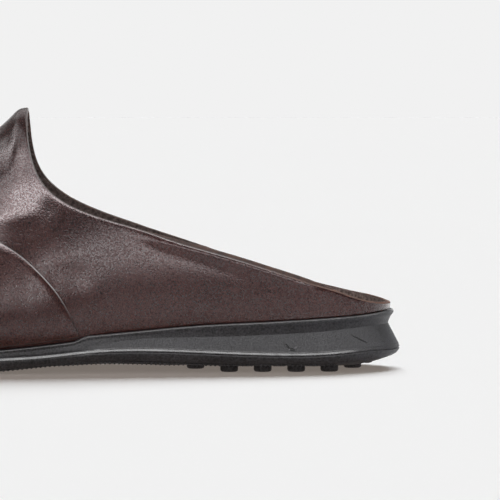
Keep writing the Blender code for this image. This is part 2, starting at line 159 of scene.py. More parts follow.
# %% [markdown]
# ## Curves along the shoe
# A table becomes a smooth curve by a natural cubic through its rows, the line that a thin wooden spline
# takes when it is bent round pins. Straight lines between the rows would show as facets in the sheen. The
# curves work on whole arrays of stations, so a fine mesh is quick to place.


# %% Smooth curves from the tables
def spline(knots, values):
    """A natural cubic through the points, for one place or an array of places."""
    x, y = np.asarray(knots, float), np.asarray(values, float)
    step = np.diff(x)
    matrix, right = np.eye(len(x)), np.zeros(len(x))
    for i in range(1, len(x) - 1):
        matrix[i, i - 1 : i + 2] = step[i - 1], 2 * (step[i - 1] + step[i]), step[i]
        right[i] = 6 * ((y[i + 1] - y[i]) / step[i] - (y[i] - y[i - 1]) / step[i - 1])
    bend = np.linalg.solve(matrix, right)

    def value(at):
        at = np.clip(at, x[0], x[-1])
        i = np.clip(np.searchsorted(x, at) - 1, 0, len(step) - 1)
        before, after, h = at - x[i], x[i + 1] - at, step[i]
        cubic = (bend[i] * after**3 + bend[i + 1] * before**3) / (6 * h)
        return cubic + (y[i] / h - bend[i] * h / 6) * after + (y[i + 1] / h - bend[i + 1] * h / 6) * before

    return value


def columns_of(table):
    """One smooth function of the station for each named column of a table."""
    stations = [row.station for row in table]
    return {name: spline(stations, [getattr(row, name) for row in table]) for name in table[0]._fields[1:]}


def smooth_step(start, end, at):
    share = np.clip((at - start) / (end - start), 0.0, 1.0)
    return share * share * (3 - 2 * share)


def hump(away, reach, power=2):
    """1 in the middle, and fading out past the reach."""
    return np.exp(-((away / reach) ** power))


last = columns_of(LAST)
side = columns_of(SOLE_SIDE)
insole_top = columns_of(INSOLE)["height"]
print("crest at the throat", round(float(last["crest"](THROAT)), 1), "mm")


# %% Plan and profile of the last
def round_end(share, power):
    share = np.clip(share, 0.0, 1.0)
    return (1 - share**power) ** (1 / power)


def heel_end(station):
    return round_end((HEEL_BACK + HEEL_ROUND - station) / HEEL_ROUND, HEEL_POWER)


def toe_end(station):
    return round_end((station - TOE_TIP + NOSE_LENGTH) / NOSE_LENGTH, NOSE_POWER)


def half_width(station, foot_side):
    column = last["lateral"] if foot_side == LATERAL else last["medial"]
    return column(station) * heel_end(station) * toe_end(station)


def swing(station):
    return TOE_SWING * smooth_step(SWING_START, TOE_TIP, station)


def stepped(station, run):
    front = LIP_STEP_STATION + LIP_STEP_RUN / 2
    return side["lip"](station) + LIP_STEP * smooth_step(front, front - run, station)


def lip_height(station):
    return stepped(station, LIP_STEP_RUN)


def seat_height(station):
    return stepped(station, SEAT_STEP_RUN) - LIP_RISE


def feather_height(station):
    return seat_height(station) + GAP


def bottom_height(station):
    arch = ARCH_RISE * smooth_step(ARCH_START, ARCH_TOP, station)
    fall = (STUD_HEIGHT + ARCH_RISE) * smooth_step(ARCH_TOP, TREAD_START, station)
    roll = HEEL_ROLL * np.maximum(0.0, (HEEL_ROLL_START - station) / (HEEL_ROLL_START - HEEL_BACK)) ** 2
    spring = TOE_SPRING * np.maximum(0.0, (station - TREAD_END) / (TOE_TIP - TREAD_END)) ** 2
    return STUD_HEIGHT + arch - fall + roll + spring


def section_height(station):
    full = last["crest"](station) - feather_height(station)
    share = (station - TOE_TIP + TOE_BOX_LENGTH) / TOE_BOX_LENGTH
    return TOE_WALL + (full - TOE_WALL) * round_end(share, TOE_BOX_POWER)


BALL = 205.0
print("ball width", round(float(half_width(BALL, LATERAL) + half_width(BALL, MEDIAL)), 1), "mm")


# %% Points on the last
def last_point(station, turn):
    """Points on the last. The turn is -1 at the lateral feather edge, 0 on the crest and 1 medially."""
    angle = (1 - abs(turn)) * math.pi / 2
    power = 2 / last["fullness"](station)
    rise = np.sin(angle) ** power
    swell = last["bulge"](station) * rise / BULGE_AT * np.exp(1 - rise / BULGE_AT) * np.cos(angle)
    width = np.where(turn < 0, half_width(station, LATERAL), half_width(station, MEDIAL))
    ends = heel_end(station) * toe_end(station)
    across = width * np.maximum(np.cos(angle), 0.0) ** power + swell * ends
    along = station + swell * (heel_end(station) - toe_end(station))
    height = feather_height(station) + section_height(station) * rise
    y = swing(station) + np.where(turn < 0, LATERAL, MEDIAL) * across
    return np.stack([SHOE_LENGTH / 2 - along, y, height], axis=-1)


def turn_at(station, height):
    """How far from the crest, 0, towards the feather edge, 1, the last has this height at this station."""
    rise = np.clip((height - feather_height(station)) / section_height(station), 0.0, 1.0)
    return 1 - np.arcsin(rise ** (last["fullness"](station) / 2)) / (math.pi / 2)


print("top of the ball in mm", last_point(BALL, 0.0).round(1))

# %% Lines drawn on the last
DENSE = 400


def run_along(points):
    """How far along a line each of its points lies."""
    return np.concatenate([[0.0], np.cumsum(np.linalg.norm(np.diff(points, axis=0), axis=1))])


def spaced(points, count, axes=2):
    """Count + 1 rows read evenly along a line of points. The first axes of each row are its place."""
    run = run_along(points[:, :axes])
    at = np.linspace(0.0, run[-1], count + 1)
    return np.stack([np.interp(at, run, column) for column in points.T], axis=1)


def feather_line(foot_side, count, front=TOE_TIP, rear=HEEL_BACK):
    """Points (station, y) evenly along one side of the feather edge, from the front to the rear."""
    stations = (front + rear) / 2 + (front - rear) / 2 * np.cos(np.linspace(0.0, math.pi, DENSE + 1))
    y = swing(stations) + foot_side * half_width(stations, foot_side)
    return spaced(np.stack([stations, y], axis=1), count)


def on_topline(station):
    """No distance from the topline, at any station."""
    return 0.0


def topline(foot_side, lowered=on_topline):
    """Close rows (x, y, z, station, turn) from throat to heel, lowered into the leather by station."""
    name = "lateral" if foot_side == LATERAL else "medial"
    rows = [(THROAT, float(last["crest"](THROAT)))] + [(row.station, getattr(row, name)) for row in TOPLINE]
    run = run_along(rows)
    at = np.linspace(0.0, run[-1], DENSE)
    station, height = (spline(run, column)(at) for column in np.transpose(rows))
    along, up = np.gradient(station, at), np.gradient(height, at)
    station, height = station - up * lowered(station), height + along * lowered(station)
    turn = turn_at(station, height)
    return np.column_stack([last_point(station, foot_side * turn), station, turn])


topline_points = np.concatenate([topline(LATERAL), topline(MEDIAL)])[:, :3]
print("topline from", topline_points[:, 2].min().round(1), "to", topline_points[:, 2].max().round(1), "mm up")

# %% [markdown]
# ## Finishes, in nodes
# A finish is a colour, a gloss and a fine relief. It could be painted on a picture, but then close views
# show the picture's own dots. Here each finish is a small tree of nodes instead: a noise is read at the
# point's own place and spread over a range of tones, gloss or height. The helpers add one node each and
# return its output, so that a finish reads like a list of what it does.

# %% Materials and values
WHOLE = (0.0, 1.0)


def set_inputs(node, **values):
    """Sets inputs of a node by name and returns the node."""
    for name, value in values.items():
        node.inputs[name.replace("_", " ")].default_value = value
    return node


def finish(name, colour, roughness):
    """A new material with its node tree and its shader, in a plain colour and gloss."""
    material = bpy.data.materials.new(name)
    material.use_nodes = True
    shader = material.node_tree.nodes["Principled BSDF"]
    set_inputs(shader, Base_Color=(*colour, 1.0), Roughness=roughness)
    return material, material.node_tree, shader


def place_in(tree, space="Object"):
    return tree.nodes.new("ShaderNodeTexCoord").outputs[space]


def coordinate(tree, axis, space="Object"):
    """One coordinate of the point that is shaded."""
    parts = tree.nodes.new("ShaderNodeSeparateXYZ")
    tree.links.new(place_in(tree, space), parts.inputs["Vector"])
    return parts.outputs[axis]


def noise(tree, scale, detail=3.0):
    """A noise on the piece's own coordinates."""
    texture = set_inputs(tree.nodes.new("ShaderNodeTexNoise"), Scale=scale, Detail=detail)
    tree.links.new(place_in(tree), texture.inputs["Vector"])
    return texture.outputs["Fac"]


def spread(tree, value, span, to):
    """A value in one span, spread over another."""
    node = tree.nodes.new("ShaderNodeMapRange")
    set_inputs(node, From_Min=span[0], From_Max=span[1], To_Min=to[0], To_Max=to[1])
    tree.links.new(value, node.inputs["Value"])
    return node.outputs["Result"]


def combine(tree, operation, first, second):
    """Two values added or multiplied."""
    node = tree.nodes.new("ShaderNodeMath")
    node.operation = operation
    tree.links.new(first, node.inputs[0])
    tree.links.new(second, node.inputs[1])
    return node.outputs["Value"]


print("node helpers ready in Blender", bpy.app.version_string)

# %% Tones and relief
TONE_SPAN = (0.35, 0.65)
MIX_FIRST, MIX_SECOND, MIX_RESULT = 6, 7, 2


def two_tones(tree, value, tones, span=TONE_SPAN):
    """A colour from the first tone to the second."""
    ramp = tree.nodes.new("ShaderNodeValToRGB")
    for element, position, tone in zip(ramp.color_ramp.elements, span, tones):
        element.position = position
        element.color = (*tone, 1.0)
    tree.links.new(value, ramp.inputs["Fac"])
    return ramp.outputs["Color"]


def shaded(tree, colour, value):
    """The colour made darker or lighter by a value near 1."""
    node = tree.nodes.new("ShaderNodeVectorMath")
    node.operation = "SCALE"
    tree.links.new(colour, node.inputs["Vector"])
    tree.links.new(value, node.inputs["Scale"])
    return node.outputs["Vector"]


def blend(tree, share, first, second):
    """The first colour where the share is 0 and the second where it is 1."""
    node = tree.nodes.new("ShaderNodeMix")
    node.data_type = "RGBA"
    tree.links.new(share, node.inputs[0])
    tree.links.new(first, node.inputs[MIX_FIRST])
    tree.links.new(second, node.inputs[MIX_SECOND])
    return node.outputs[MIX_RESULT]


def raise_grain(tree, shader, *layers):
    """Chains bumps, each from a value, the height in millimetres that it stands for, and a strength."""
    normal = None
    for value, height, strength in layers:
        bump = set_inputs(tree.nodes.new("ShaderNodeBump"), Strength=strength, Distance=height * MM)
        tree.links.new(value, bump.inputs["Height"])
        if normal:
            tree.links.new(normal, bump.inputs["Normal"])
        normal = bump.outputs["Normal"]
    tree.links.new(normal, shader.inputs["Normal"])


print("tones change where a noise goes from", TONE_SPAN[0], "to", TONE_SPAN[1])

# %% [markdown]
# ## Camera, floor and light
# The photograph is a level side view through a long lens, from about the height of the instep. The shoe
# fills the left of the frame, so only its rear half shows. Its shadow falls towards the camera, so the
# main light hangs above and behind. Sun lamps with a wide disc stand for the large even lights: the key,
# a level fill in front and a weak dome. The sheen could come from them too, but its shape is easier to
# set apart from the shadows. So the suns give no gloss, and softboxes round the shoe give nothing else.
# The world is bright behind the shoe, as a backdrop, and a dark studio in front.

# %% Camera
CAMERA_PLACE = (0.0916, -1.633, 0.090)
AIM_DROP, AIM_DISTANCE = 47.0, 1600.0
SENSOR, VIEW_WIDTH, VIEW_DISTANCE = 36.0, 175.0, 1600.7
camera_drop = math.atan2(AIM_DROP, AIM_DISTANCE)
bpy.ops.object.camera_add(location=CAMERA_PLACE, rotation=(math.pi / 2 - camera_drop, 0.0, 0.0))
camera = bpy.context.object
camera.data.sensor_width = SENSOR
camera.data.lens = SENSOR * VIEW_DISTANCE / VIEW_WIDTH
bpy.context.scene.camera = camera
print("lens", round(camera.data.lens), "mm, looking down", round(math.degrees(camera_drop), 2), "degrees")

# %% Floor and backdrop
FLOOR_SIZE, PAPER = 400.0, 0.80
# The floor glows a little by itself, in a warm tint. The glow is painted light: it lightens and warms the
# shoe's shadow on the floor.
FLOOR_SHADOW_GLOW, FLOOR_SHADOW_TINT = 0.17, (1.0, 0.86, 0.76)
BACKDROP, STUDIO, STUDIO_SPAN = 0.8796, 0.13, (0.05, 0.30)
bpy.ops.mesh.primitive_plane_add(size=FLOOR_SIZE, location=(0.0, 0.0, 0.0))
floor = bpy.context.object
floor.name = "floor"
paper, _, paper_shader = finish("floor_paper", (PAPER, PAPER, PAPER), 1.0)
# The paper's own warm glow, painted light for the shadow under and in front of the shoe.
set_inputs(
    paper_shader,
    Specular_IOR_Level=0.0,
    Emission_Color=(*FLOOR_SHADOW_TINT, 1.0),
    Emission_Strength=FLOOR_SHADOW_GLOW,
)
floor.data.materials.append(paper)
world = bpy.data.worlds.new("studio")
world.use_nodes = True
sky = world.node_tree
in_front = spread(sky, coordinate(sky, "Y", "Generated"), (-1.0, 0.0), (1.0, 0.0))
up_or_front = combine(sky, "ADD", coordinate(sky, "Z", "Generated"), in_front)
sky_tones = ((BACKDROP, BACKDROP, BACKDROP), (STUDIO, STUDIO, STUDIO))
sky_colour = two_tones(sky, up_or_front, sky_tones, STUDIO_SPAN)
sky.links.new(sky_colour, sky.nodes["Background"].inputs["Color"])
bpy.context.scene.world = world
world.cycles_visibility.diffuse = False
bpy.context.scene.view_settings.view_transform = "Standard"
print("floor of", FLOOR_SIZE, "m and a backdrop of", BACKDROP)

# %% Suns
Lamp = namedtuple("Lamp", "name tilt turn disc strength colour")
LAMPS = (
    Lamp("key_softbox", -49.0, -8.0, 38.0, 4.11, (0.9585, 1.0, 1.029)),
    Lamp("front_fill", 80.0, 0.0, 40.0, 0.47, (1.0, 0.90, 0.82)),
    Lamp("dome", 0.0, 0.0, 170.0, 0.12, (1.0, 0.92, 0.86)),
)
for lamp in LAMPS:
    turned = (math.radians(lamp.tilt), 0.0, math.radians(lamp.turn))
    bpy.ops.object.light_add(type="SUN", rotation=turned)
    light = bpy.context.object
    light.name = lamp.name
    light.data.angle = math.radians(lamp.disc)
    light.data.energy = lamp.strength
    light.data.color = lamp.colour
    light.visible_glossy = False
print(len(LAMPS), "suns, without gloss")

# %% Softboxes
Softbox = namedtuple("Softbox", "name place width height glow")
SOFTBOXES = (
    Softbox("front_low", (-0.28, -1.60, 0.40), 1.85, 0.27, 3.8),
    Softbox("front_high", (0.20, -1.13, 1.03), 2.8, 0.27, 9.0),
    Softbox("front_top", (0.20, -0.75, 1.34), 4.2, 0.64, 3.0),
    Softbox("front_over", (-0.20, -0.25, 1.60), 3.2, 0.64, 1.2),
    Softbox("side", (1.70, 0.10, 1.30), 1.6, 1.2, 2.5),
    Softbox("toe_side", (-1.25, -0.05, 1.25), 1.0, 0.8, 3.0),
    Softbox("rear_high", (0.20, 1.00, 1.10), 2.0, 0.90, 0.5),
)
SHEEN_AIM = Vector((0.03, 0.0, 0.04))
for box in SOFTBOXES:
    bpy.ops.object.light_add(type="AREA", location=box.place)
    light = bpy.context.object
    light.name = box.name
    light.rotation_euler = (SHEEN_AIM - Vector(box.place)).to_track_quat("-Z", "Y").to_euler()
    light.data.shape = "RECTANGLE"
    light.data.size, light.data.size_y = box.width, box.height
    light.data.energy = box.glow * math.pi * box.width * box.height
    light.visible_diffuse = False
print(len(SOFTBOXES), "softboxes, for gloss alone")

# %% [markdown]
# ## Working by hand, in code
# Operators act on whatever is selected, so each step first selects one piece alone. A flat sheet of faces
# is the blank that leather is cut from, and laying it on the last moves each of its points to a place on
# the form. Carving the upper from a block would also give its shape, but not an even thickness.

# %% Selecting and editing
SAME_PLACE = 0.002


def alone(piece):
    """Makes one piece the selected and active one."""
    bpy.ops.object.select_all(action="DESELECT")
    piece.select_set(True)
    bpy.context.view_layer.objects.active = piece


def edit_all(piece, *steps):
    """Runs steps of edit mode on all of a piece."""
    alone(piece)
    bpy.ops.object.mode_set(mode="EDIT")
    bpy.ops.mesh.select_all(action="SELECT")
    for step in steps:
        step()
    bpy.ops.object.mode_set(mode="OBJECT")


def merge_points():
    bpy.ops.mesh.remove_doubles(threshold=SAME_PLACE * MM)


def face_outwards():
    bpy.ops.mesh.normals_make_consistent(inside=False)


def join(name, pieces):
    """Makes several pieces one and returns it."""
    alone(pieces[0])
    for piece in pieces[1:]:
        piece.select_set(True)
    bpy.ops.object.join()
    joined = bpy.context.object
    joined.name = name
    return joined


def apply_modifier(piece, kind, **settings):
    alone(piece)
    bpy.ops.object.modifier_add(type=kind)
    modifier = piece.modifiers[-1]
    for name, value in settings.items():
        setattr(modifier, name, value)
    bpy.ops.object.modifier_apply(modifier=modifier.name)


def shade(piece, angle):
    """Smooth shading, with edges sharper than the angle kept."""
    alone(piece)
    bpy.ops.object.shade_smooth_by_angle(angle=math.radians(angle))


print("points nearer than", SAME_PLACE, "mm are made one")

# %% Blanks and their points
BLANK_SIZE = 1.0


def flat_sheet(name, along, up):
    """A square blank of along by up faces."""
    bpy.ops.object.select_all(action="DESELECT")
    bpy.ops.mesh.primitive_grid_add(x_subdivisions=along, y_subdivisions=up, size=BLANK_SIZE)
    blank = bpy.context.object
    blank.name = name
    return blank


def points_of(piece):
    """The piece's points in millimetres."""
    points = np.empty(3 * len(piece.data.vertices))
    piece.data.vertices.foreach_get("co", points)
    return points.reshape(-1, 3) / MM


def place(piece, points):
    """Moves the piece's points to these places, in millimetres."""
    piece.data.vertices.foreach_set("co", (points * MM).ravel())
    piece.data.update()


def normals_of(piece):
    normals = np.empty(3 * len(piece.data.vertices))
    piece.data.vertex_normals.foreach_get("vector", normals)
    return normals.reshape(-1, 3)


def lay_sheet(name, grid_of):
    """A blank for each side, laid on a grid of points and sewn to the other along crest, toe and heel."""
    halves = []
    for foot_side in (LATERAL, MEDIAL):
        grid = grid_of(foot_side)
        along, up = grid.shape[0] - 1, grid.shape[1] - 1
        blank = flat_sheet(name, along, up)
        flat = points_of(blank) * MM + BLANK_SIZE / 2
        place(blank, grid[np.rint(flat[:, 0] * along).astype(int), np.rint(flat[:, 1] * up).astype(int)])
        if foot_side == MEDIAL:
            edit_all(blank, bpy.ops.mesh.flip_normals)
        halves.append(blank)
    sewn = join(name, halves)
    edit_all(sewn, merge_points)
    print(name, "laid on", len(sewn.data.vertices), "points")
    return sewn


print("a sheet is laid in halves, on sides", LATERAL, "and", MEDIAL)

# %% [markdown]
# ## Waxed leather
# The leather is dark brown and waxed. Its colour clouds over a few centimetres, and its grain breaks the
# sheen into fine points of light. A bump alone would only blur the sheen at this distance, so the grain
# also speckles the colour, changes the gloss and leaves gaps in the coat of wax.

# %% Leather finish
LEATHER_PLAIN, LEATHER_ROUGHNESS = (0.044, 0.013, 0.011), 0.40
LEATHER_TONES = ((0.034, 0.0099, 0.0086), (0.070, 0.0228, 0.0192))
LEATHER_CLOUD, LEATHER_GRAIN, WAX_GRAIN = 28.0, 1900.0, 1700.0
GRAIN_SPAN, GRAIN_SPECKLE, GRAIN_GLOSS, GRAIN_HEIGHT = (0.3, 0.7), (0.4, 1.6), (0.13, 0.21), 0.06
WAX_SPAN, WAX_WEIGHT, WAX_ROUGHNESS = (0.42, 0.58), (0.0, 0.80), 0.17
WAX_TINT = (1.0, 0.81, 0.83, 1.0)


def waxed_leather(name):
    """Leather whose coat of wax is broken up by the grain."""
    material, tree, shader = finish(name, LEATHER_PLAIN, LEATHER_ROUGHNESS)
    cloud = two_tones(tree, noise(tree, LEATHER_CLOUD, detail=4.0), LEATHER_TONES)
    grain = noise(tree, LEATHER_GRAIN, detail=1.0)
    wax = spread(tree, noise(tree, WAX_GRAIN, detail=1.0), WAX_SPAN, WAX_WEIGHT)
    speckled = shaded(tree, cloud, spread(tree, grain, GRAIN_SPAN, GRAIN_SPECKLE))
    tree.links.new(speckled, shader.inputs["Base Color"])
    tree.links.new(spread(tree, grain, GRAIN_SPAN, GRAIN_GLOSS), shader.inputs["Roughness"])
    tree.links.new(wax, shader.inputs["Coat Weight"])
    raise_grain(tree, shader, (grain, GRAIN_HEIGHT, 1.0))
    set_inputs(shader, Specular_Tint=WAX_TINT, Coat_Roughness=WAX_ROUGHNESS)
    return material


upper_finish = waxed_leather("upper_leather")
vamp_finish = waxed_leather("vamp_leather")
print("leather", upper_finish.name, vamp_finish.name)

# %% [markdown]
# ## Suede
# Lining and insole are brushed suede, which has hardly any gloss. Round the heel the lining's colour is
# painted lighter, a painted highlight for the light that falls there. Real suede is a pile of short hairs.
# From this far hairs would cost much and show little, so a fine noise in two tones, a small bump and a
# weak sheen stand for them.

# %% Suede finish
HEEL_FRONT, HEEL_SEAT = 62.0, 32.0
SUEDE_ROUGHNESS, SUEDE_NAP = 0.9, 900.0
PILE, PILE_HEIGHT, PILE_STRENGTH = 1300.0, 0.15, 0.8
# The second number paints the lining up to that many times lighter at the heel's seat, as painted light for
# the light that falls there.
LINING_TONES, LINING_HEEL_LIGHT = ((0.105, 0.081, 0.077), (0.300, 0.240, 0.228)), 2.2
INSOLE_TONES = ((0.120, 0.100, 0.090), (0.260, 0.225, 0.205))


def towards_heel(tree):
    """A value that is 0 in front of the heel and 1 at its seat."""
    span = [(SHOE_LENGTH / 2 - station) * MM for station in (HEEL_FRONT, HEEL_SEAT)]
    return spread(tree, coordinate(tree, "X"), span, WHOLE)


def suede(name, tones, heel_light=1.0):
    """Suede whose colour may be painted lighter towards the heel, for the light that falls there."""
    material, tree, shader = finish(name, tones[1], SUEDE_ROUGHNESS)
    wear_and_heel_light = spread(tree, towards_heel(tree), WHOLE, (1.0, heel_light))
    nap = two_tones(tree, noise(tree, SUEDE_NAP), tones)
    tree.links.new(shaded(tree, nap, wear_and_heel_light), shader.inputs["Base Color"])
    raise_grain(tree, shader, (noise(tree, PILE), PILE_HEIGHT, PILE_STRENGTH))
    set_inputs(shader, Specular_IOR_Level=0.2, Sheen_Weight=0.25, Sheen_Roughness=0.5)
    return material


lining_finish = suede("lining_suede", LINING_TONES, LINING_HEEL_LIGHT)
insole_finish = suede("insole_suede", INSOLE_TONES)
print("suede", lining_finish.name, insole_finish.name)

# %% [markdown]
# ## Cut edges
# A cut edge shows the tan of the hide unless it is burnished with wax. The lining's edge is raw, the
# vamp's is burnished dark, and the collar's is dark along the side and worn to tan round the heel. The
# collar could be cut into two pieces for this, but wear has no border, so it is a value that grows
# towards the heel and fades down in the lip's gap.

# %% Edge finishes
RAW_TONES, RAW_ROUGHNESS = ((0.050, 0.017, 0.010), (0.140, 0.054, 0.030)), 0.7
RAW_PATCHES, RAW_RELIEF, RAW_STRENGTH = 500.0, 0.08, 0.6
WAXED_PLAIN, WAXED_TONES = (0.050, 0.013, 0.009), ((0.036, 0.009, 0.006), (0.070, 0.020, 0.014))
WORN_TONES = ((0.075, 0.022, 0.009), (0.160, 0.053, 0.020))
WAXED_PATCHES, WAXED_RELIEF, WAXED_STRENGTH = 300.0, 0.04, 0.5
EDGE_FIBRES = 1500.0
WAXED_ROUGHNESS, WORN_ROUGHNESS, WAXED_COAT, WORN_COAT = 0.3, 0.6, 1.0, 0.1
GAP_TOP, EDGE_LOWEST = 22.2, 23.0


def over_lip(tree):
    """A value that is 0 down in the lip's gap and 1 above the lip at the heel."""
    return spread(tree, coordinate(tree, "Z"), (GAP_TOP * MM, EDGE_LOWEST * MM), WHOLE)


def raw_edge(name):
    material, tree, shader = finish(name, RAW_TONES[1], RAW_ROUGHNESS)
    patches = two_tones(tree, noise(tree, RAW_PATCHES), RAW_TONES)
    tree.links.new(patches, shader.inputs["Base Color"])
    raise_grain(tree, shader, (noise(tree, EDGE_FIBRES, detail=2.0), RAW_RELIEF, RAW_STRENGTH))
    return material


def burnished_edge(name, worn_heel=False):
    """A dark waxed edge, which may be worn to the tan of the hide round the heel."""
    material, tree, shader = finish(name, WAXED_PLAIN, WAXED_ROUGHNESS)
    set_inputs(shader, Coat_Weight=WAXED_COAT, Coat_Roughness=0.2)
    patches = noise(tree, WAXED_PATCHES)
    colour = two_tones(tree, patches, WAXED_TONES)
    if worn_heel:
        worn = combine(tree, "MULTIPLY", towards_heel(tree), over_lip(tree))
        colour = blend(tree, worn, colour, two_tones(tree, patches, WORN_TONES))
        roughness = spread(tree, worn, WHOLE, (WAXED_ROUGHNESS, WORN_ROUGHNESS))
        coat = spread(tree, worn, WHOLE, (WAXED_COAT, WORN_COAT))
        tree.links.new(roughness, shader.inputs["Roughness"])
        tree.links.new(coat, shader.inputs["Coat Weight"])
    tree.links.new(colour, shader.inputs["Base Color"])
    raise_grain(tree, shader, (noise(tree, EDGE_FIBRES, detail=2.0), WAXED_RELIEF, WAXED_STRENGTH))
    return material


edge_finish = raw_edge("cut_edge")
vamp_edge_finish = burnished_edge("vamp_edge")
collar_finish = burnished_edge("collar_edge", worn_heel=True)
print("edges", edge_finish.name, vamp_edge_finish.name, collar_finish.name)

# %% [markdown]
# ## Moulded rubber
# The sole is black rubber with a slight speckle from the mould. A long scratch and a nick mark the heel's
# facet. They could be cut into the mesh, but they are thinner than its faces, so each is a stretched ball
# in the finish: inside it the surface is lowered and the colour is darkened, which paints shade into the
# cut. Two small specks by the nick are lightened instead, which paints highlights on its edge. The ridge
# and the lip are rubbed shiny, which the mesh tells the finish by an attribute called polish.

# %% Scuffs
Scuff = namedtuple("Scuff", "station height length width turn tone depth")
# A tone below 1 paints shade into a cut, and a tone above 1 paints a highlight on the nick's edge.
SCUFFS = (
    Scuff(14.7, 11.4, 4.6, 0.28, 27.0, 0.1, 0.22),
    Scuff(40.3, 9.3, 1.1, 0.32, 50.0, 0.1, 0.4),
    Scuff(38.6, 8.1, 1.1, 0.50, 20.0, 0.0, 0.15),
    Scuff(37.4, 8.9, 0.6, 0.28, -40.0, 5.0, 0.0),
    Scuff(39.6, 8.3, 0.5, 0.25, 40.0, 4.0, 0.0),
)
SCUFF_Y, SCUFF_REACH, SCUFF_EDGE = -34.0, 12.0, (0.6, 1.0)


def scuffed(tree, scuff):
    """A value that is 1 on a long mark on the lateral side and 0 off it."""
    ball = set_inputs(
        tree.nodes.new("ShaderNodeMapping"),
        Location=((SHOE_LENGTH / 2 - scuff.station) * MM, SCUFF_Y * MM, scuff.height * MM),
        Rotation=(0.0, math.radians(scuff.turn), 0.0),
        Scale=(scuff.length * MM, SCUFF_REACH * MM, scuff.width * MM),
    )
    ball.vector_type = "TEXTURE"
    reach = tree.nodes.new("ShaderNodeVectorMath")
    reach.operation = "LENGTH"
    tree.links.new(place_in(tree), ball.inputs["Vector"])
    tree.links.new(ball.outputs["Vector"], reach.inputs[0])
    return spread(tree, reach.outputs["Value"], SCUFF_EDGE, (1.0, 0.0))


print(len(SCUFFS), "marks on the heel's facet")

# %% Rubber finish
RUBBER_PLAIN, RUBBER_ROUGHNESS, RUBBER_SPECULAR = (0.044, 0.044, 0.048), 0.5, 0.22
RUBBER_TONES = ((0.055, 0.055, 0.061), (0.074, 0.074, 0.083))
RUBBER_CLOUD, RUBBER_GRAIN, RUBBER_SPECKLE, RUBBER_GLOSS = 40.0, 1500.0, (0.55, 1.45), (0.32, 0.66)
MOULD_HEIGHT, MOULD_STRENGTH = 0.12, 0.9
POLISH_PATCHES, POLISH_RANGE, POLISH_ROUGHNESS = 260.0, (0.65, 1.0), 0.17


def moulded_rubber(name):
    """Speckled rubber with its scuffs, polished where the mesh says so."""
    material, tree, shader = finish(name, RUBBER_PLAIN, RUBBER_ROUGHNESS)
    cloud = two_tones(tree, noise(tree, RUBBER_CLOUD, detail=4.0), RUBBER_TONES)
    grain = noise(tree, RUBBER_GRAIN, detail=1.0)
    colour = shaded(tree, cloud, spread(tree, grain, GRAIN_SPAN, RUBBER_SPECKLE))
    relief_layers = [(grain, MOULD_HEIGHT, MOULD_STRENGTH)]
    for scuff in SCUFFS:
        mark = scuffed(tree, scuff)
        # The tone paints shade into a cut, and a highlight where it is above 1.
        colour = shaded(tree, colour, spread(tree, mark, WHOLE, (1.0, scuff.tone)))
        relief_layers.append((spread(tree, mark, WHOLE, (1.0, 0.0)), scuff.depth, 1.0))
    tree.links.new(colour, shader.inputs["Base Color"])
    tree.links.new(spread(tree, grain, GRAIN_SPAN, RUBBER_GLOSS), shader.inputs["Roughness"])
    raise_grain(tree, shader, *relief_layers)
    polish = tree.nodes.new("ShaderNodeAttribute")
    polish.attribute_name = "polish"
    uneven = spread(tree, noise(tree, POLISH_PATCHES), TONE_SPAN, POLISH_RANGE)
    wear_and_heel_light = combine(tree, "MULTIPLY", polish.outputs["Fac"], uneven)
    tree.links.new(wear_and_heel_light, shader.inputs["Coat Weight"])
    set_inputs(shader, Specular_IOR_Level=RUBBER_SPECULAR, Coat_Roughness=POLISH_ROUGHNESS)
    return material


rubber_finish = moulded_rubber("sole_rubber")
print("rubber", rubber_finish.name, "with", len(rubber_finish.node_tree.nodes), "nodes")

# %% [markdown]
# ## The walls of the upper
# Both walls are cut in one with the instep. Lines of points run up from the feather edge, where the upper
# meets the sole, to the crest in front of the throat and to the topline behind it. A plain grid cut off
# at the topline would leave a jagged edge, so the lines fan out and end on it. Leather and lining are
# laid on the same lines. The leather's edge stops a little below the lining's along the side, where the
# raw edge shows.

# %% Feet and tops of the lines
FRONT_COLUMNS, FAN_COLUMNS, HEEL_COLUMNS = 72, 96, 48
CREST_SPREAD = 1.3
FanFoot = namedtuple("FanFoot", "share station")
FAN_FEET = (FanFoot(0.0, 172.0), FanFoot(0.35, 150.0), FanFoot(0.55, 128.0), FanFoot(1.0, 67.0))
THROAT_FOOT, ANKLE = FAN_FEET[0].station, FAN_FEET[-1].station


def foot_stations(count, front, rear):
    lateral, medial = (feather_line(foot_side, count, front, rear) for foot_side in (LATERAL, MEDIAL))
    return (lateral[:, 0] + medial[:, 0]) / 2


def wall_columns(foot_side, lowered):
    """Rows (station of the foot, station of the top, turn of the top), one for each line up the wall."""
    edge = topline(foot_side, lowered)
    throat = edge[0, 3]
    feet = foot_stations(FRONT_COLUMNS, TOE_TIP, THROAT_FOOT)
    ahead = np.clip((feet - THROAT_FOOT) / (TOE_TIP - THROAT_FOOT), 0.0, 1.0) ** CREST_SPREAD
    front = np.column_stack([feet, throat + (TOE_TIP - throat) * ahead, np.zeros_like(feet)])
    tops = spaced(edge[edge[:, 3] >= ANKLE], FAN_COLUMNS, axes=3)[1:, 3:]
    feet = spline([row.share for row in FAN_FEET], [row.station for row in FAN_FEET])
    fan = np.column_stack([feet(np.linspace(0.0, 1.0, FAN_COLUMNS + 1)[1:]), tops])
    feet = foot_stations(HEEL_COLUMNS, ANKLE, HEEL_BACK)[1:]
    heel = np.column_stack([feet, feet, np.interp(-feet, -edge[:, 3], edge[:, 4])])
    return np.concatenate([front, fan, heel])


print("lines up each wall", len(wall_columns(LATERAL, on_topline)))

# %% Points up the lines
WALL_ROWS, ROW_SPREAD = 60, 1.25
LINE_STEPS, STEP_SPREAD = 120, 1.5
TINY = 1e-9


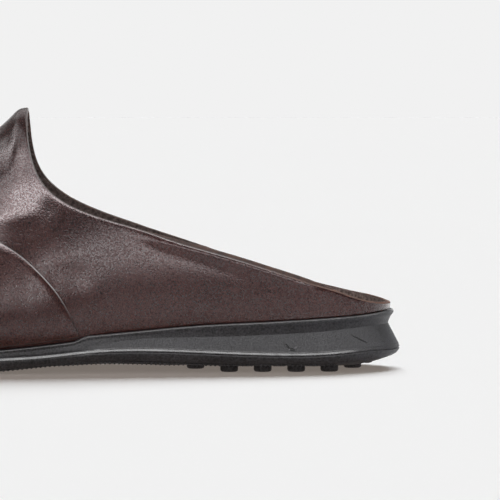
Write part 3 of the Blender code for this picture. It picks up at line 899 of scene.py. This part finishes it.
def wall_line(foot_side, column, raised):
    """Points spaced up one line of a wall, from a raised foot to the edge."""
    foot, top, top_turn = column
    share = np.linspace(0.0, 1.0, LINE_STEPS + 1) ** STEP_SPREAD
    station = foot + (top - foot) * share
    turn = np.maximum(1 - share * (1 - top_turn), TINY)
    points = last_point(station, foot_side * turn)
    run = run_along(points)
    up = 1 - (1 - np.linspace(0.0, 1.0, WALL_ROWS + 1)) ** ROW_SPREAD
    at = raised + (run[-1] - raised) * up
    return np.stack([np.interp(at, run, axis) for axis in points.T], axis=1)


def wall_grid(foot_side, raised, lowered):
    """Points up each line of a wall. At the middle of the heel both walls share one line."""
    lines = [wall_line(foot_side, column, raised) for column in wall_columns(foot_side, lowered)]
    rearmost = [(each, wall_columns(each, lowered)[-1]) for each in (LATERAL, MEDIAL)]
    lines[-1] = np.mean([wall_line(each, column, raised) for each, column in rearmost], axis=0)
    return np.array(lines)


print("each line has", WALL_ROWS, "steps")

# %% [markdown]
# ## Creases
# Worn leather keeps soft troughs and ridges. Each row of the table is one stroke of a maker's thumb on
# the side view: where it starts and ends, how wide it is, and how far it pushes the leather out or, below
# zero, in. Sculpting or a noise could crease it too, but a stroke stays where the photograph has it.
# Along the topline the leather is turned over a bead, with a shallow trough under it.

# %% Strokes on the leather
Stroke = namedtuple("Stroke", "foot_side station height to_station to_height width push")
STROKES = (
    Stroke(LATERAL, 133.2, 89.5, 139.8, 80.5, 2.4, -0.3),
    Stroke(LATERAL, 130.0, 10.0, 172.0, 10.0, 14.0, 0.8),
    Stroke(LATERAL, 130.0, 55.0, 146.0, 53.5, 3.6, 0.22),
    Stroke(LATERAL, 124.0, 57.0, 129.0, 51.0, 3.2, -0.12),
    Stroke(LATERAL, 121.0, 34.0, 114.0, 34.5, 5.5, -0.3),
    Stroke(MEDIAL, 122.0, 58.0, 140.0, 47.0, 5.5, -0.8),
    Stroke(MEDIAL, 118.0, 32.0, 112.0, 34.0, 8.0, 0.6),
)
BEAD_BELOW, BEAD_WIDTH, BEAD_RISE = 2.4, 1.8, 0.42
TROUGH_BELOW, TROUGH_WIDTH, TROUGH_DEPTH = 6.0, 2.6, 0.08
BEAD_FRONT, BEAD_REAR = (98.0, 78.0), (22.0, 36.0)
ROLL_WIDTH, ROLL_DEPTH = 0.6, 0.12


def below_topline(points):
    """How far each point lies from the topline, in millimetres."""
    tree = KDTree(len(topline_points))
    for i, point in enumerate(topline_points):
        tree.insert(point, i)
    tree.balance()
    return np.array([tree.find(point)[2] for point in points])


def relief(points):
    """How far the leather is pushed out at each point, in millimetres."""
    station, height = SHOE_LENGTH / 2 - points[:, 0], points[:, 2]
    foot_side = np.where(points[:, 1] < swing(station), LATERAL, MEDIAL)
    pushed = np.zeros(len(points))
    for stroke in STROKES:
        start = np.array((stroke.station, stroke.height))
        run = np.array((stroke.to_station, stroke.to_height)) - start
        from_start = np.column_stack([station, height]) - start
        share = np.clip(from_start @ run / (run @ run), 0.0, 1.0)
        away = np.linalg.norm(from_start - share[:, None] * run, axis=1)
        pushed += np.where(foot_side == stroke.foot_side, stroke.push * hump(away, stroke.width), 0.0)
    below = below_topline(points)
    bead = BEAD_RISE * hump(below - BEAD_BELOW, BEAD_WIDTH)
    trough = TROUGH_DEPTH * hump(below - TROUGH_BELOW, TROUGH_WIDTH)
    along = smooth_step(*BEAD_FRONT, station) * smooth_step(*BEAD_REAR, station)
    roll = ROLL_DEPTH * hump(below, ROLL_WIDTH) * (1 - along)
    return pushed + (bead - trough) * along - roll


def press_creases(piece, trough_share=1.0):
    """Pushes the piece's points along their normals. A stiffer piece takes only a share of the troughs."""
    points = points_of(piece)
    pushed = relief(points)
    pushed *= np.where(pushed < 0, trough_share, 1.0)
    place(piece, points + normals_of(piece) * pushed[:, None])
    print(piece.name, "pushed from", pushed.min().round(2), "to", pushed.max().round(2), "mm")


print(len(STROKES), "strokes, and a bead", BEAD_RISE, "mm high")

# %% [markdown]
# ## Thickness and cut edges
# A sheet gets its back by a copy that is moved inwards and turned round. The open edge between the two is
# then closed by extruding it over a half circle, which gives every cut edge of the leather its rounded
# look. A Solidify modifier would give a square edge and the wrong cut at the throat: there all layers are
# cut in one line, so the back is moved across the cut and not along it.


# %% Open edges
def open_edges(mesh):
    """The edges with one face only, their ends, and for each the middle and the normal of that face."""
    uses, ends = np.empty(len(mesh.loops), np.int32), np.empty(2 * len(mesh.edges), np.int32)
    mesh.loops.foreach_get("edge_index", uses)
    mesh.edges.foreach_get("vertices", ends)
    sizes, middles, normals = (np.empty(n * len(mesh.polygons)) for n in (1, 3, 3))
    mesh.polygons.foreach_get("loop_total", sizes)
    mesh.polygons.foreach_get("center", middles)
    mesh.polygons.foreach_get("normal", normals)
    edges = np.flatnonzero(np.bincount(uses, minlength=len(mesh.edges)) == 1)
    owner = np.empty(len(mesh.edges), int)
    owner[uses] = np.repeat(np.arange(len(sizes)), sizes.astype(int))
    beside = owner[edges]
    middles, normals = middles.reshape(-1, 3)[beside] / MM, normals.reshape(-1, 3)[beside]
    return edges, ends.reshape(-1, 2)[edges], middles, normals


def unit_ways(ways):
    return ways / np.maximum(np.linalg.norm(ways, axis=1), TINY)[:, None]


def away_from_sheet(points, ends, middles, normals):
    """At each point of the open edges, the way that leads off the sheet."""
    first, second = points[ends[:, 0]], points[ends[:, 1]]
    away = unit_ways(np.cross(second - first, normals))
    away *= np.sign((away * ((first + second) / 2 - middles)).sum(axis=1))[:, None]
    off = np.zeros_like(points)
    np.add.at(off, ends[:, 0], away)
    np.add.at(off, ends[:, 1], away)
    return unit_ways(off)


def choose_edges(piece, edges):
    """Selects these edges alone and leaves the piece in edit mode."""
    alone(piece)
    bpy.ops.object.mode_set(mode="EDIT")
    bpy.ops.mesh.select_mode(type="EDGE")
    bpy.ops.mesh.select_all(action="DESELECT")
    bpy.ops.object.mode_set(mode="OBJECT")
    chosen = np.zeros(len(piece.data.edges), bool)
    chosen[edges] = True
    piece.data.edges.foreach_set("select", chosen)
    bpy.ops.object.mode_set(mode="EDIT")


def extrude_to(piece, attribute, places):
    """Extrudes the selected edges and sets each new point to the place that its attribute numbers."""
    bpy.ops.mesh.extrude_edges_move()
    bpy.ops.object.mode_set(mode="OBJECT")
    count = len(piece.data.vertices)
    chosen, numbers = np.empty(count, bool), np.empty(count, np.int32)
    piece.data.vertices.foreach_get("select", chosen)
    piece.data.attributes[attribute].data.foreach_get("value", numbers)
    points = points_of(piece)
    points[chosen] = places[numbers[chosen]]
    place(piece, points)
    bpy.ops.object.mode_set(mode="EDIT")


print("a plain sheet such as the floor has", len(open_edges(floor.data)[0]), "open edges")

# %% Backs and rounded edges
EDGE_STEPS, EDGE_ANGLE = 6, 40.0
THROAT_SPAN, THROAT_REACH = (52.0, 64.0), 9.0
BACK_SLOT, EDGE_SLOT = 1, 2


def layer_ways(points, normals):
    """The way across the layer at each point: its normal, but square to the shoe at the throat's cut."""
    near = hump(below_topline(points), THROAT_REACH) * smooth_step(*THROAT_SPAN, points[:, 2])
    ways = normals.copy()
    ways[:, 0] *= 1 - near
    return ways


def back_of(piece, points):
    """A copy of a sheet, set to other points and turned round."""
    alone(piece)
    bpy.ops.object.duplicate()
    reverse = bpy.context.object
    place(reverse, points)
    slots = np.full(len(reverse.data.polygons), BACK_SLOT, np.int32)
    reverse.data.polygons.foreach_set("material_index", slots)
    edit_all(reverse, bpy.ops.mesh.flip_normals)
    return reverse


def choose_points():
    bpy.ops.mesh.select_mode(type="VERT")


def thicken(sheet, outer, thickness, materials):
    """A sheet becomes a layer whose face lies outer millimetres out. Materials: face, back and edge."""
    points = points_of(sheet)
    ways = layer_ways(points, normals_of(sheet))
    face, back = points + ways * outer, points + ways * (outer - thickness)
    place(sheet, face)
    edges, ends, middles, beside = open_edges(sheet.data)
    off = away_from_sheet(face, ends, middles, beside)
    for material in materials:
        sheet.data.materials.append(material)
    layer = join(sheet.name, (sheet, back_of(sheet, back)))
    faces = len(layer.data.polygons)
    twins = layer.data.attributes.new("twin", "INT", "POINT")
    twins.data.foreach_set("value", np.arange(len(layer.data.vertices), dtype=np.int32))
    choose_edges(layer, edges)
    middle, half = (face + back) / 2, (face - back) / 2
    for step in range(1, EDGE_STEPS + 1):
        angle = math.pi * step / EDGE_STEPS
        ring_points = middle + half * math.cos(angle) + off * (thickness / 2 * math.sin(angle))
        extrude_to(layer, "twin", ring_points)
    bpy.ops.object.mode_set(mode="OBJECT")
    slots = np.empty(len(layer.data.polygons), np.int32)
    layer.data.polygons.foreach_get("material_index", slots)
    slots[faces:] = EDGE_SLOT
    layer.data.polygons.foreach_set("material_index", slots)
    edit_all(layer, merge_points, face_outwards, choose_points)
    shade(layer, EDGE_ANGLE)
    print(layer.name, len(edges), "open edges rounded,", len(layer.data.polygons), "faces")


print("a cut edge has", EDGE_STEPS, "steps")

# %% [markdown]
# ## Leather and lining
# The upper is leather outside and suede inside. They could be two faces of one layer, but the collar
# shows two edges, so each is a layer of its own, with a thin gap between them that keeps them from
# flickering.

# %% Leather
LEATHER, LINING, LAYER_GAP = 1.2, 0.7, 0.05
EDGE_RISE, RAW_EDGE = 0.35, 1.2
RAW_FRONT, RAW_REAR = (96.0, 74.0), (34.0, 20.0)


def leather_edge(station):
    """How far the sheet stops below the topline: half its thickness, and more where the raw edge shows."""
    shown = smooth_step(*RAW_FRONT, station) - smooth_step(*RAW_REAR, station)
    return LEATHER / 2 - EDGE_RISE + RAW_EDGE * shown


quarter = lay_sheet("upper_leather", lambda foot_side: wall_grid(foot_side, LEATHER / 2, leather_edge))
press_creases(quarter)
thicken(quarter, 0.0, LEATHER, (upper_finish, lining_finish, collar_finish))


# %% Lining
def lining_edge(station):
    """Half the lining's thickness below the topline, at any station."""
    return LINING / 2 - EDGE_RISE


lining = lay_sheet("lining", lambda foot_side: wall_grid(foot_side, LINING / 2, lining_edge))
press_creases(lining)
thicken(lining, -LEATHER - LAYER_GAP, LINING, (edge_finish, lining_finish, edge_finish))

# %% [markdown]
# ## The vamp
# The vamp is a second piece of leather that lies over the front of the upper. Its rear edge runs from the
# waist of the sole up over the instep as a raised step. A bump could hint at the step, but only a real
# layer gives it a lit edge and a shadow. So it is laid on the last as the walls were, lifted by a thin
# gap and thickened outwards.

# %% Vamp
VAMP_COLUMNS, VAMP_ROWS, VAMP_SPREAD = 110, 64, 1.2
VAMP_LIFT, VAMP_GAP, VAMP_TROUGHS = 1.3, 0.4, 0.3
SEAM_LOWER = 1.2


def seam_edge():
    """Turns and stations along the vamp's rear edge, from the crest down to its foot."""
    rows = [(SEAM_FOOT, float(feather_height(SEAM_FOOT)))]
    rows += [(row.station, row.height - SEAM_LOWER) for row in SEAM]
    rows += [(SEAM_CREST, float(last["crest"](SEAM_CREST)))]
    along = np.linspace(SEAM_CREST, SEAM_FOOT, DENSE)
    return turn_at(along, spline(*np.transpose(rows))(along)), along


def vamp_grid(foot_side):
    back = 1 - np.cos(math.pi / 2 * np.linspace(0.0, 1.0, VAMP_COLUMNS + 1))[:, None]
    climb = np.linspace(0.0, 1.0, VAMP_ROWS + 1)[None, :] ** VAMP_SPREAD
    station = TOE_TIP - (TOE_TIP - np.interp(1 - climb, *seam_edge())) * back
    lowest = turn_at(station, feather_height(station) + VAMP_LIFT + LEATHER / 2)
    return last_point(station, foot_side * np.maximum(lowest * (1 - climb), TINY))


vamp = lay_sheet("vamp_panel", vamp_grid)
press_creases(vamp, VAMP_TROUGHS)
thicken(vamp, VAMP_GAP + LEATHER, LEATHER, (vamp_finish, vamp_edge_finish, vamp_edge_finish))

# %% [markdown]
# ## The sole
# The sole is moulded in one. Its side has a lip that the upper sits in, a hollow band, a wedge facet that
# fades out at the waist, a groove and a ridge along the widest line, and a rounded underside. One profile
# swept along a curve couldn't change on its way, so a circle is drawn out row by row with the extrude
# operator instead, and each new row is set to its place on the outline.

# %% Outline of the sole
RING_SIDE = 190


def ring():
    """(station, y) and the outward normal round the feather edge, from the toe down the lateral side."""
    lateral, medial = feather_line(LATERAL, RING_SIDE), feather_line(MEDIAL, RING_SIDE)
    line = np.concatenate([lateral, medial[-2:0:-1]])
    tangent = np.roll(line, -1, axis=0) - np.roll(line, 1, axis=0)
    normal = np.stack([-tangent[:, 1], tangent[:, 0]], axis=1)
    return line, normal / np.linalg.norm(normal, axis=1)[:, None]


outline, outward = ring()
stations = outline[:, 0]
level = np.ones_like(stations)
print(len(outline), "points round the outline")

# %% Underside of the sole
RIB_HEIGHT, RIB_SHOW, WAIST_FILL = 0.32, 0.10, 0.36
WAIST_REAR, WAIST_FRONT = (74.0, 84.0), (124.0, 114.0)
FULL_EASE = 9.0
UnderLine = namedtuple("UnderLine", "inward share ease")
UNDERSIDE = (
    UnderLine(0.25, 0.55, FULL_EASE),
    UnderLine(1.1, 0.22, FULL_EASE),
    UnderLine(2.9, 0.03, FULL_EASE),
    UnderLine(3.6, 0.0, 0.2),
)


def base_height(station):
    """The underside along the rim, which lies a rib's height over the CAD underside."""
    return bottom_height(station) + RIB_HEIGHT


def tread_height(station):
    """The underside inside the rim. The ribs stand out of it a little, and it hangs lower at the waist."""
    waist = smooth_step(*WAIST_REAR, station) * smooth_step(*WAIST_FRONT, station)
    return bottom_height(station) + RIB_SHOW - WAIST_FILL * waist


print(len(UNDERSIDE), "lines round the underside's edge")

# %% Lines down the sole's side
LIP_FLANK_IN, LIP_FLANK_DROP, BAND_HOLLOW = 0.25, 1.1, 0.25
WEDGE_NONE, WEDGE_FULL, LEAST_WEDGE, WEDGE_SLOPE = 0.9, 2.4, 1.3, 0.52
LEDGE, GROOVE_TOP, GROOVE_FLOOR, GROOVE_IN = 1.15, 0.95, 0.62, 0.15
RIDGE_UP, RIDGE_DOWN, RIDGE_SET, RIDGE_LEDGE = 0.52, 0.4, 0.70, 0.36
NOTCH_TOP, NOTCH_FOOT, NOTCH_IN, NOTCH_FACET = 0.57, 1.05, 0.05, 0.4
RIM_WIDTH = 4.2
SideLine = namedtuple("SideLine", "out height ease")


def side_lines():
    """The lines along the sole's side, from the seat down, with how far each corner is eased."""
    ridge, wedge, lip_out = (side[name](stations) for name in ("ridge", "wedge", "lip_out"))
    lip, base = lip_height(stations), base_height(stations)
    facet = smooth_step(WEDGE_NONE, WEDGE_FULL, wedge)

    def out_at(height, ledge):
        """The offset at a height over the ridge: on the wedge's facet, or on a ledge where it has faded."""
        return RIDGE_OUT - facet * WEDGE_SLOPE * height - (1 - facet) * ledge

    ridge_top = out_at(RIDGE_SET, RIDGE_LEDGE)
    rise = np.maximum(wedge, LEAST_WEDGE)
    crease, crease_out = ridge + rise, out_at(rise, LEDGE)
    lines = [
        SideLine(LIP_GAP * level, seat_height(stations), 0.1),
        SideLine(LIP_GAP * level, lip, 0.3),
        SideLine(lip_out, lip - LIP_DROP, 0.7),
        SideLine(lip_out - LIP_FLANK_IN, lip - LIP_DROP - LIP_FLANK_DROP, 0.5),
        SideLine((lip_out + crease_out) / 2 - BAND_HOLLOW, (crease + lip - LIP_DROP) / 2, FULL_EASE),
        SideLine(crease_out, crease, 0.2),
        SideLine(out_at(GROOVE_TOP, LEDGE), ridge + GROOVE_TOP, 0.1),
        SideLine(out_at(GROOVE_FLOOR, LEDGE + GROOVE_IN), ridge + GROOVE_FLOOR, 0.1),
        SideLine(ridge_top, ridge + RIDGE_UP, 0.12),
        SideLine((ridge_top + RIDGE_OUT) / 2, ridge + (RIDGE_UP - RIDGE_DOWN) / 2, FULL_EASE),
        SideLine(RIDGE_OUT * level, ridge - RIDGE_DOWN, 0.12),
        SideLine(RIDGE_OUT - NOTCH_IN - NOTCH_FACET * facet, ridge - NOTCH_TOP, 0.1),
        SideLine(RIDGE_OUT * level, ridge - NOTCH_FOOT, 0.3),
    ]
    for row in UNDERSIDE:
        lines.append(SideLine(RIDGE_OUT - row.inward, base + row.share * (ridge - base), row.ease))
    return lines + [SideLine(RIDGE_OUT - RIM_WIDTH, tread_height(stations), 0.1)]


print(len(side_lines()), "lines down the side")

# %% Eased corners
CORNER_STEPS = 4


def eased(lines):
    """Rows of (offset, height) with each corner turned on a short curve."""
    corners = [np.stack(np.broadcast_arrays(line.out, line.height), axis=1) for line in lines]
    rows = [corners[0]]
    for before, here, after, line in zip(corners, corners[1:], corners[2:], lines[1:]):
        ways = []
        for other in (before, after):
            length = np.linalg.norm(other - here, axis=1)[:, None]
            ways.append(here + (other - here) * np.minimum(line.ease, length / 2) / np.maximum(length, TINY))
        for share in np.linspace(0.0, 1.0, CORNER_STEPS + 1):
            rows.append(ways[0] * (1 - share) ** 2 + 2 * here * share * (1 - share) + ways[1] * share**2)
    return rows + [corners[-1]]


profile = eased(side_lines())
print(len(profile), "rows down the side")

# %% Rows drawn out
SPINE_SHARES = (0.0, 0.25, 0.5, 0.75, 0.93)
NO_LENGTH = 0.001


def row_at(offset, height):
    places = outline + outward * offset[:, None]
    return np.column_stack([SHOE_LENGTH / 2 - places[:, 0], places[:, 1], height])


def towards_spine(row, share, height):
    """A row at a new height, drawn in to a share of its width. At a share of 0 its two sides meet."""
    raised = np.column_stack([row[:, :2], height])
    across = np.roll(raised[::-1], 1, axis=0)
    middle = (raised + across) / 2
    return middle + (raised - middle) * share


def drop_flat_faces():
    bpy.ops.mesh.dissolve_degenerate(threshold=NO_LENGTH * MM)


def draw_out(name, rows):
    """A circle set on the first row and extruded to each of the others."""
    bpy.ops.object.select_all(action="DESELECT")
    bpy.ops.mesh.primitive_circle_add(vertices=len(rows[0]), radius=1.0)
    piece = bpy.context.object
    piece.name = name
    column = piece.data.attributes.new("column", "INT", "POINT")
    column.data.foreach_set("value", np.arange(len(rows[0])))
    place(piece, rows[0])
    bpy.ops.object.mode_set(mode="EDIT")
    bpy.ops.mesh.select_all(action="SELECT")
    for row in rows[1:]:
        extrude_to(piece, "column", row)
    bpy.ops.object.mode_set(mode="OBJECT")
    edit_all(piece, merge_points, drop_flat_faces, face_outwards)
    return piece


print("from the edge to the spine in", len(SPINE_SHARES), "rows")

# %% Outsole
SHINE_MIDDLE, SHINE_REACH, SHINE_POWER, SHINE_START = 0.06, 0.75, 6, (12.0, 26.0)
LIP_SHINE_DROP, LIP_SHINE_REACH = 0.3, 0.45
SOLE_ANGLE = 50.0
sole_rows = [row_at(row[:, 0], row[:, 1]) for row in profile]
seat_rows = [towards_spine(sole_rows[0], share, sole_rows[0][:, 2]) for share in SPINE_SHARES]
under_rows = [towards_spine(sole_rows[-1], share, sole_rows[-1][:, 2]) for share in SPINE_SHARES[::-1]]
outsole = draw_out("outsole", seat_rows + sole_rows + under_rows)
outsole.data.materials.append(rubber_finish)
columns = np.empty(len(outsole.data.vertices), np.int32)
outsole.data.attributes["column"].data.foreach_get("value", columns)
along, height = stations[columns], points_of(outsole)[:, 2]
ridge_shine = hump(height - side["ridge"](along) - SHINE_MIDDLE, SHINE_REACH, SHINE_POWER)
ridge_shine *= smooth_step(*SHINE_START, along)
lip_shine = hump(height - lip_height(along) + LIP_SHINE_DROP, LIP_SHINE_REACH)
polish = outsole.data.attributes.new("polish", "FLOAT", "POINT")
polish.data.foreach_set("value", np.maximum(ridge_shine, lip_shine))
shade(outsole, SOLE_ANGLE)
print(outsole.name, len(outsole.data.polygons), "faces")

# %% [markdown]
# ## Studs
# Round studs stand in a ring inside the heel's edge, with two short rows within it. One stud is a
# cylinder with its edges bevelled, and the others are copies of it, sunk as deep as their place asks. An
# Array would set them on a straight line, so each copy is moved on its own.

# %% Places of the studs
STUD_INSET, STUD_PITCH, STUD_RING_FRONT = 5.5, 11.8, 72.7
STUD_REAR_INSET, STUD_REAR = 3.5, (26.0, 6.0)
STUD_LEAST, STUD_FADE_REAR, STUD_FADE_FRONT = 0.15, (8.0, 24.0), (84.0, 62.0)
INNER_STUD_SPREAD, INNER_STUD_STATIONS, INNER_STUD_LIFT = 8.6, (31.0, 43.0, 55.0, 67.0), 1.0


def stud_places():
    """(station, y, lift) of each stud. The ring draws in at the back, and the inner studs are shorter."""
    further_in = STUD_REAR_INSET * smooth_step(*STUD_REAR, stations)
    inset = outline - outward * (STUD_INSET + further_in)[:, None]
    heel = len(outline) // 2
    rows = (-INNER_STUD_SPREAD, INNER_STUD_SPREAD)
    places = [(station, y, INNER_STUD_LIFT) for station in INNER_STUD_STATIONS for y in rows]
    for half in (inset[heel : heel - RING_SIDE // 2 : -1], inset[heel : heel + RING_SIDE // 2]):
        dense = spaced(half, DENSE)
        run = run_along(dense)
        front = run[np.argmin(abs(dense[:, 0] - STUD_RING_FRONT))]
        for at in np.arange(front, STUD_PITCH / 3, -STUD_PITCH):
            places.append((np.interp(at, run, dense[:, 0]), np.interp(at, run, dense[:, 1]), 0.0))
    return places


def stud_drop(station):
    full = min(smooth_step(*STUD_FADE_REAR, station), smooth_step(*STUD_FADE_FRONT, station))
    return STUD_HEIGHT * (STUD_LEAST + (1 - STUD_LEAST) * full)


print(len(stud_places()), "places for studs")

# %% Studs
STUD_RADIUS, STUD_EDGE, STUD_ROOT, STUD_SIDES, STUD_STEPS = 3.15, 0.9, 1.0, 28, 3
stud_depth = STUD_HEIGHT + STUD_ROOT
bpy.ops.object.select_all(action="DESELECT")
bpy.ops.mesh.primitive_cylinder_add(vertices=STUD_SIDES, radius=STUD_RADIUS * MM, depth=stud_depth * MM)
first_stud = bpy.context.object
apply_modifier(first_stud, "BEVEL", width=STUD_EDGE * MM, segments=STUD_STEPS, limit_method="ANGLE")
copies = []
for station, y, lift in stud_places():
    alone(first_stud)
    bpy.ops.object.duplicate(linked=False)
    foot = bottom_height(station) - stud_drop(station) + lift
    middle = (SHOE_LENGTH / 2 - station, y, float(foot) + stud_depth / 2)
    bpy.ops.transform.translate(value=Vector(middle) * MM)
    bpy.ops.object.transform_apply(location=True, rotation=True, scale=True)
    copies.append(bpy.context.object)
alone(first_stud)
bpy.ops.object.delete()
stud_count = len(copies)
studs = join("heel_studs", copies)
edit_all(studs, merge_points)
studs.data.materials.append(rubber_finish)
shade(studs, EDGE_ANGLE)
print(stud_count, "studs,", len(studs.data.polygons), "faces")

# %% [markdown]
# ## Ribs
# Fine ribs cross the underside, and their ends show as small teeth along the sole's lower edge. A bump
# would leave that edge smooth, so they are real. One rib is a box with a narrowed foot, an Array repeats
# it, and each copy is then set to the width and height of the sole where it lies.

# %% One rib
RIB_PITCH, RIB_WIDTH, RIB_FOOT, RIB_SINK = 1.6, 0.85, 0.35, 0.3
RIB_FIRST, RIB_LAST, RIB_INSET = 24.0, 279.0, 2.2
DOWNWARDS = -0.5
bpy.ops.object.select_all(action="DESELECT")
bpy.ops.mesh.primitive_cube_add(size=1.0)
ribs = bpy.context.object
ribs.name = "tread_ribs"
bpy.ops.object.mode_set(mode="EDIT")
bpy.ops.mesh.select_all(action="DESELECT")
bpy.ops.object.mode_set(mode="OBJECT")
for face in ribs.data.polygons:
    face.select = face.normal.z < DOWNWARDS
bpy.ops.object.mode_set(mode="EDIT")
bpy.ops.transform.resize(value=(RIB_FOOT, 1.0, 1.0))
bpy.ops.object.mode_set(mode="OBJECT")
print("one rib with", len(ribs.data.polygons), "faces")

# %% All ribs
rib_count = int((RIB_LAST - RIB_FIRST) / RIB_PITCH)
apply_modifier(
    ribs,
    "ARRAY",
    count=rib_count,
    use_relative_offset=False,
    use_constant_offset=True,
    constant_offset_displace=(1.0, 0.0, 0.0),
)
unit = points_of(ribs) * MM
rib_number = np.repeat(np.arange(rib_count), len(unit) // rib_count)
rib_station = RIB_FIRST + RIB_PITCH * (rib_number + RIB_WIDTH * (unit[:, 0] - rib_number))
rib_side = np.where(unit[:, 1] < 0, half_width(rib_station, LATERAL), half_width(rib_station, MEDIAL))
rib_y = swing(rib_station) + np.sign(unit[:, 1]) * (rib_side + RIDGE_OUT - RIB_INSET)
rib_top, rib_foot = base_height(rib_station) + RIB_SINK, tread_height(rib_station) - RIB_SHOW
rib_z = np.where(unit[:, 2] > 0, rib_top, rib_foot)
place(ribs, np.column_stack([SHOE_LENGTH / 2 - rib_station, rib_y, rib_z]))
edit_all(ribs, face_outwards)
ribs.data.materials.append(rubber_finish)
print(rib_count, "ribs,", len(ribs.data.polygons), "faces")

# %% [markdown]
# ## The insole
# A thin pad covered in suede, like the lining, fills the bottom of the shoe. A thickened sheet would
# have square edges, so the pad is drawn out like the sole: from its lower edge, over a rounded shoulder,
# to a crown along the middle.

# %% Insole
INSOLE_INSET, INSOLE_CROWN = 2.5, 0.8
InsoleLine = namedtuple("InsoleLine", "inward drop")
INSOLE_EDGE = (
    InsoleLine(0.0, 1.4),
    InsoleLine(0.1, 0.9),
    InsoleLine(0.35, 0.45),
    InsoleLine(0.8, 0.12),
    InsoleLine(1.5, 0.0),
)
top = insole_top(stations)
lowest = row_at(-INSOLE_INSET * level, feather_height(stations))
shoulder = [row_at((-INSOLE_INSET - line.inward) * level, top - line.drop) for line in INSOLE_EDGE]
underneath = [towards_spine(lowest, share, lowest[:, 2]) for share in SPINE_SHARES]
crown = []
for share in SPINE_SHARES[::-1]:
    crown.append(towards_spine(shoulder[-1], share, top + INSOLE_CROWN * (1 - share**2)))
insole = draw_out("insole_pad", underneath + [lowest] + shoulder + crown)
insole.data.materials.append(insole_finish)
shade(insole, SOLE_ANGLE)
print(insole.name, len(insole.data.polygons), "faces")

# %% [markdown]
# ## Riding on the frame
# Each new piece names the CAD body that it rides on, the CAD solid that it stands for and the record's
# slot that its finish belongs to. The shoe has no joints, so all of it rides on the root.

# %% Ride and replace
Dress = namedtuple("Dress", "piece node slot")
DRESS = (
    Dress(quarter, "upper", "upper_leather"),
    Dress(lining, "upper", "insole_lining"),
    Dress(vamp, "vamp", "vamp_leather"),
    Dress(outsole, "sole", "sole_rubber"),
    Dress(studs, "sole", "sole_rubber"),
    Dress(ribs, "sole", "sole_rubber"),
    Dress(insole, "insole", "insole_lining"),
)
for dress in DRESS:
    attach(dress.piece, "root")
    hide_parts(dress.node)
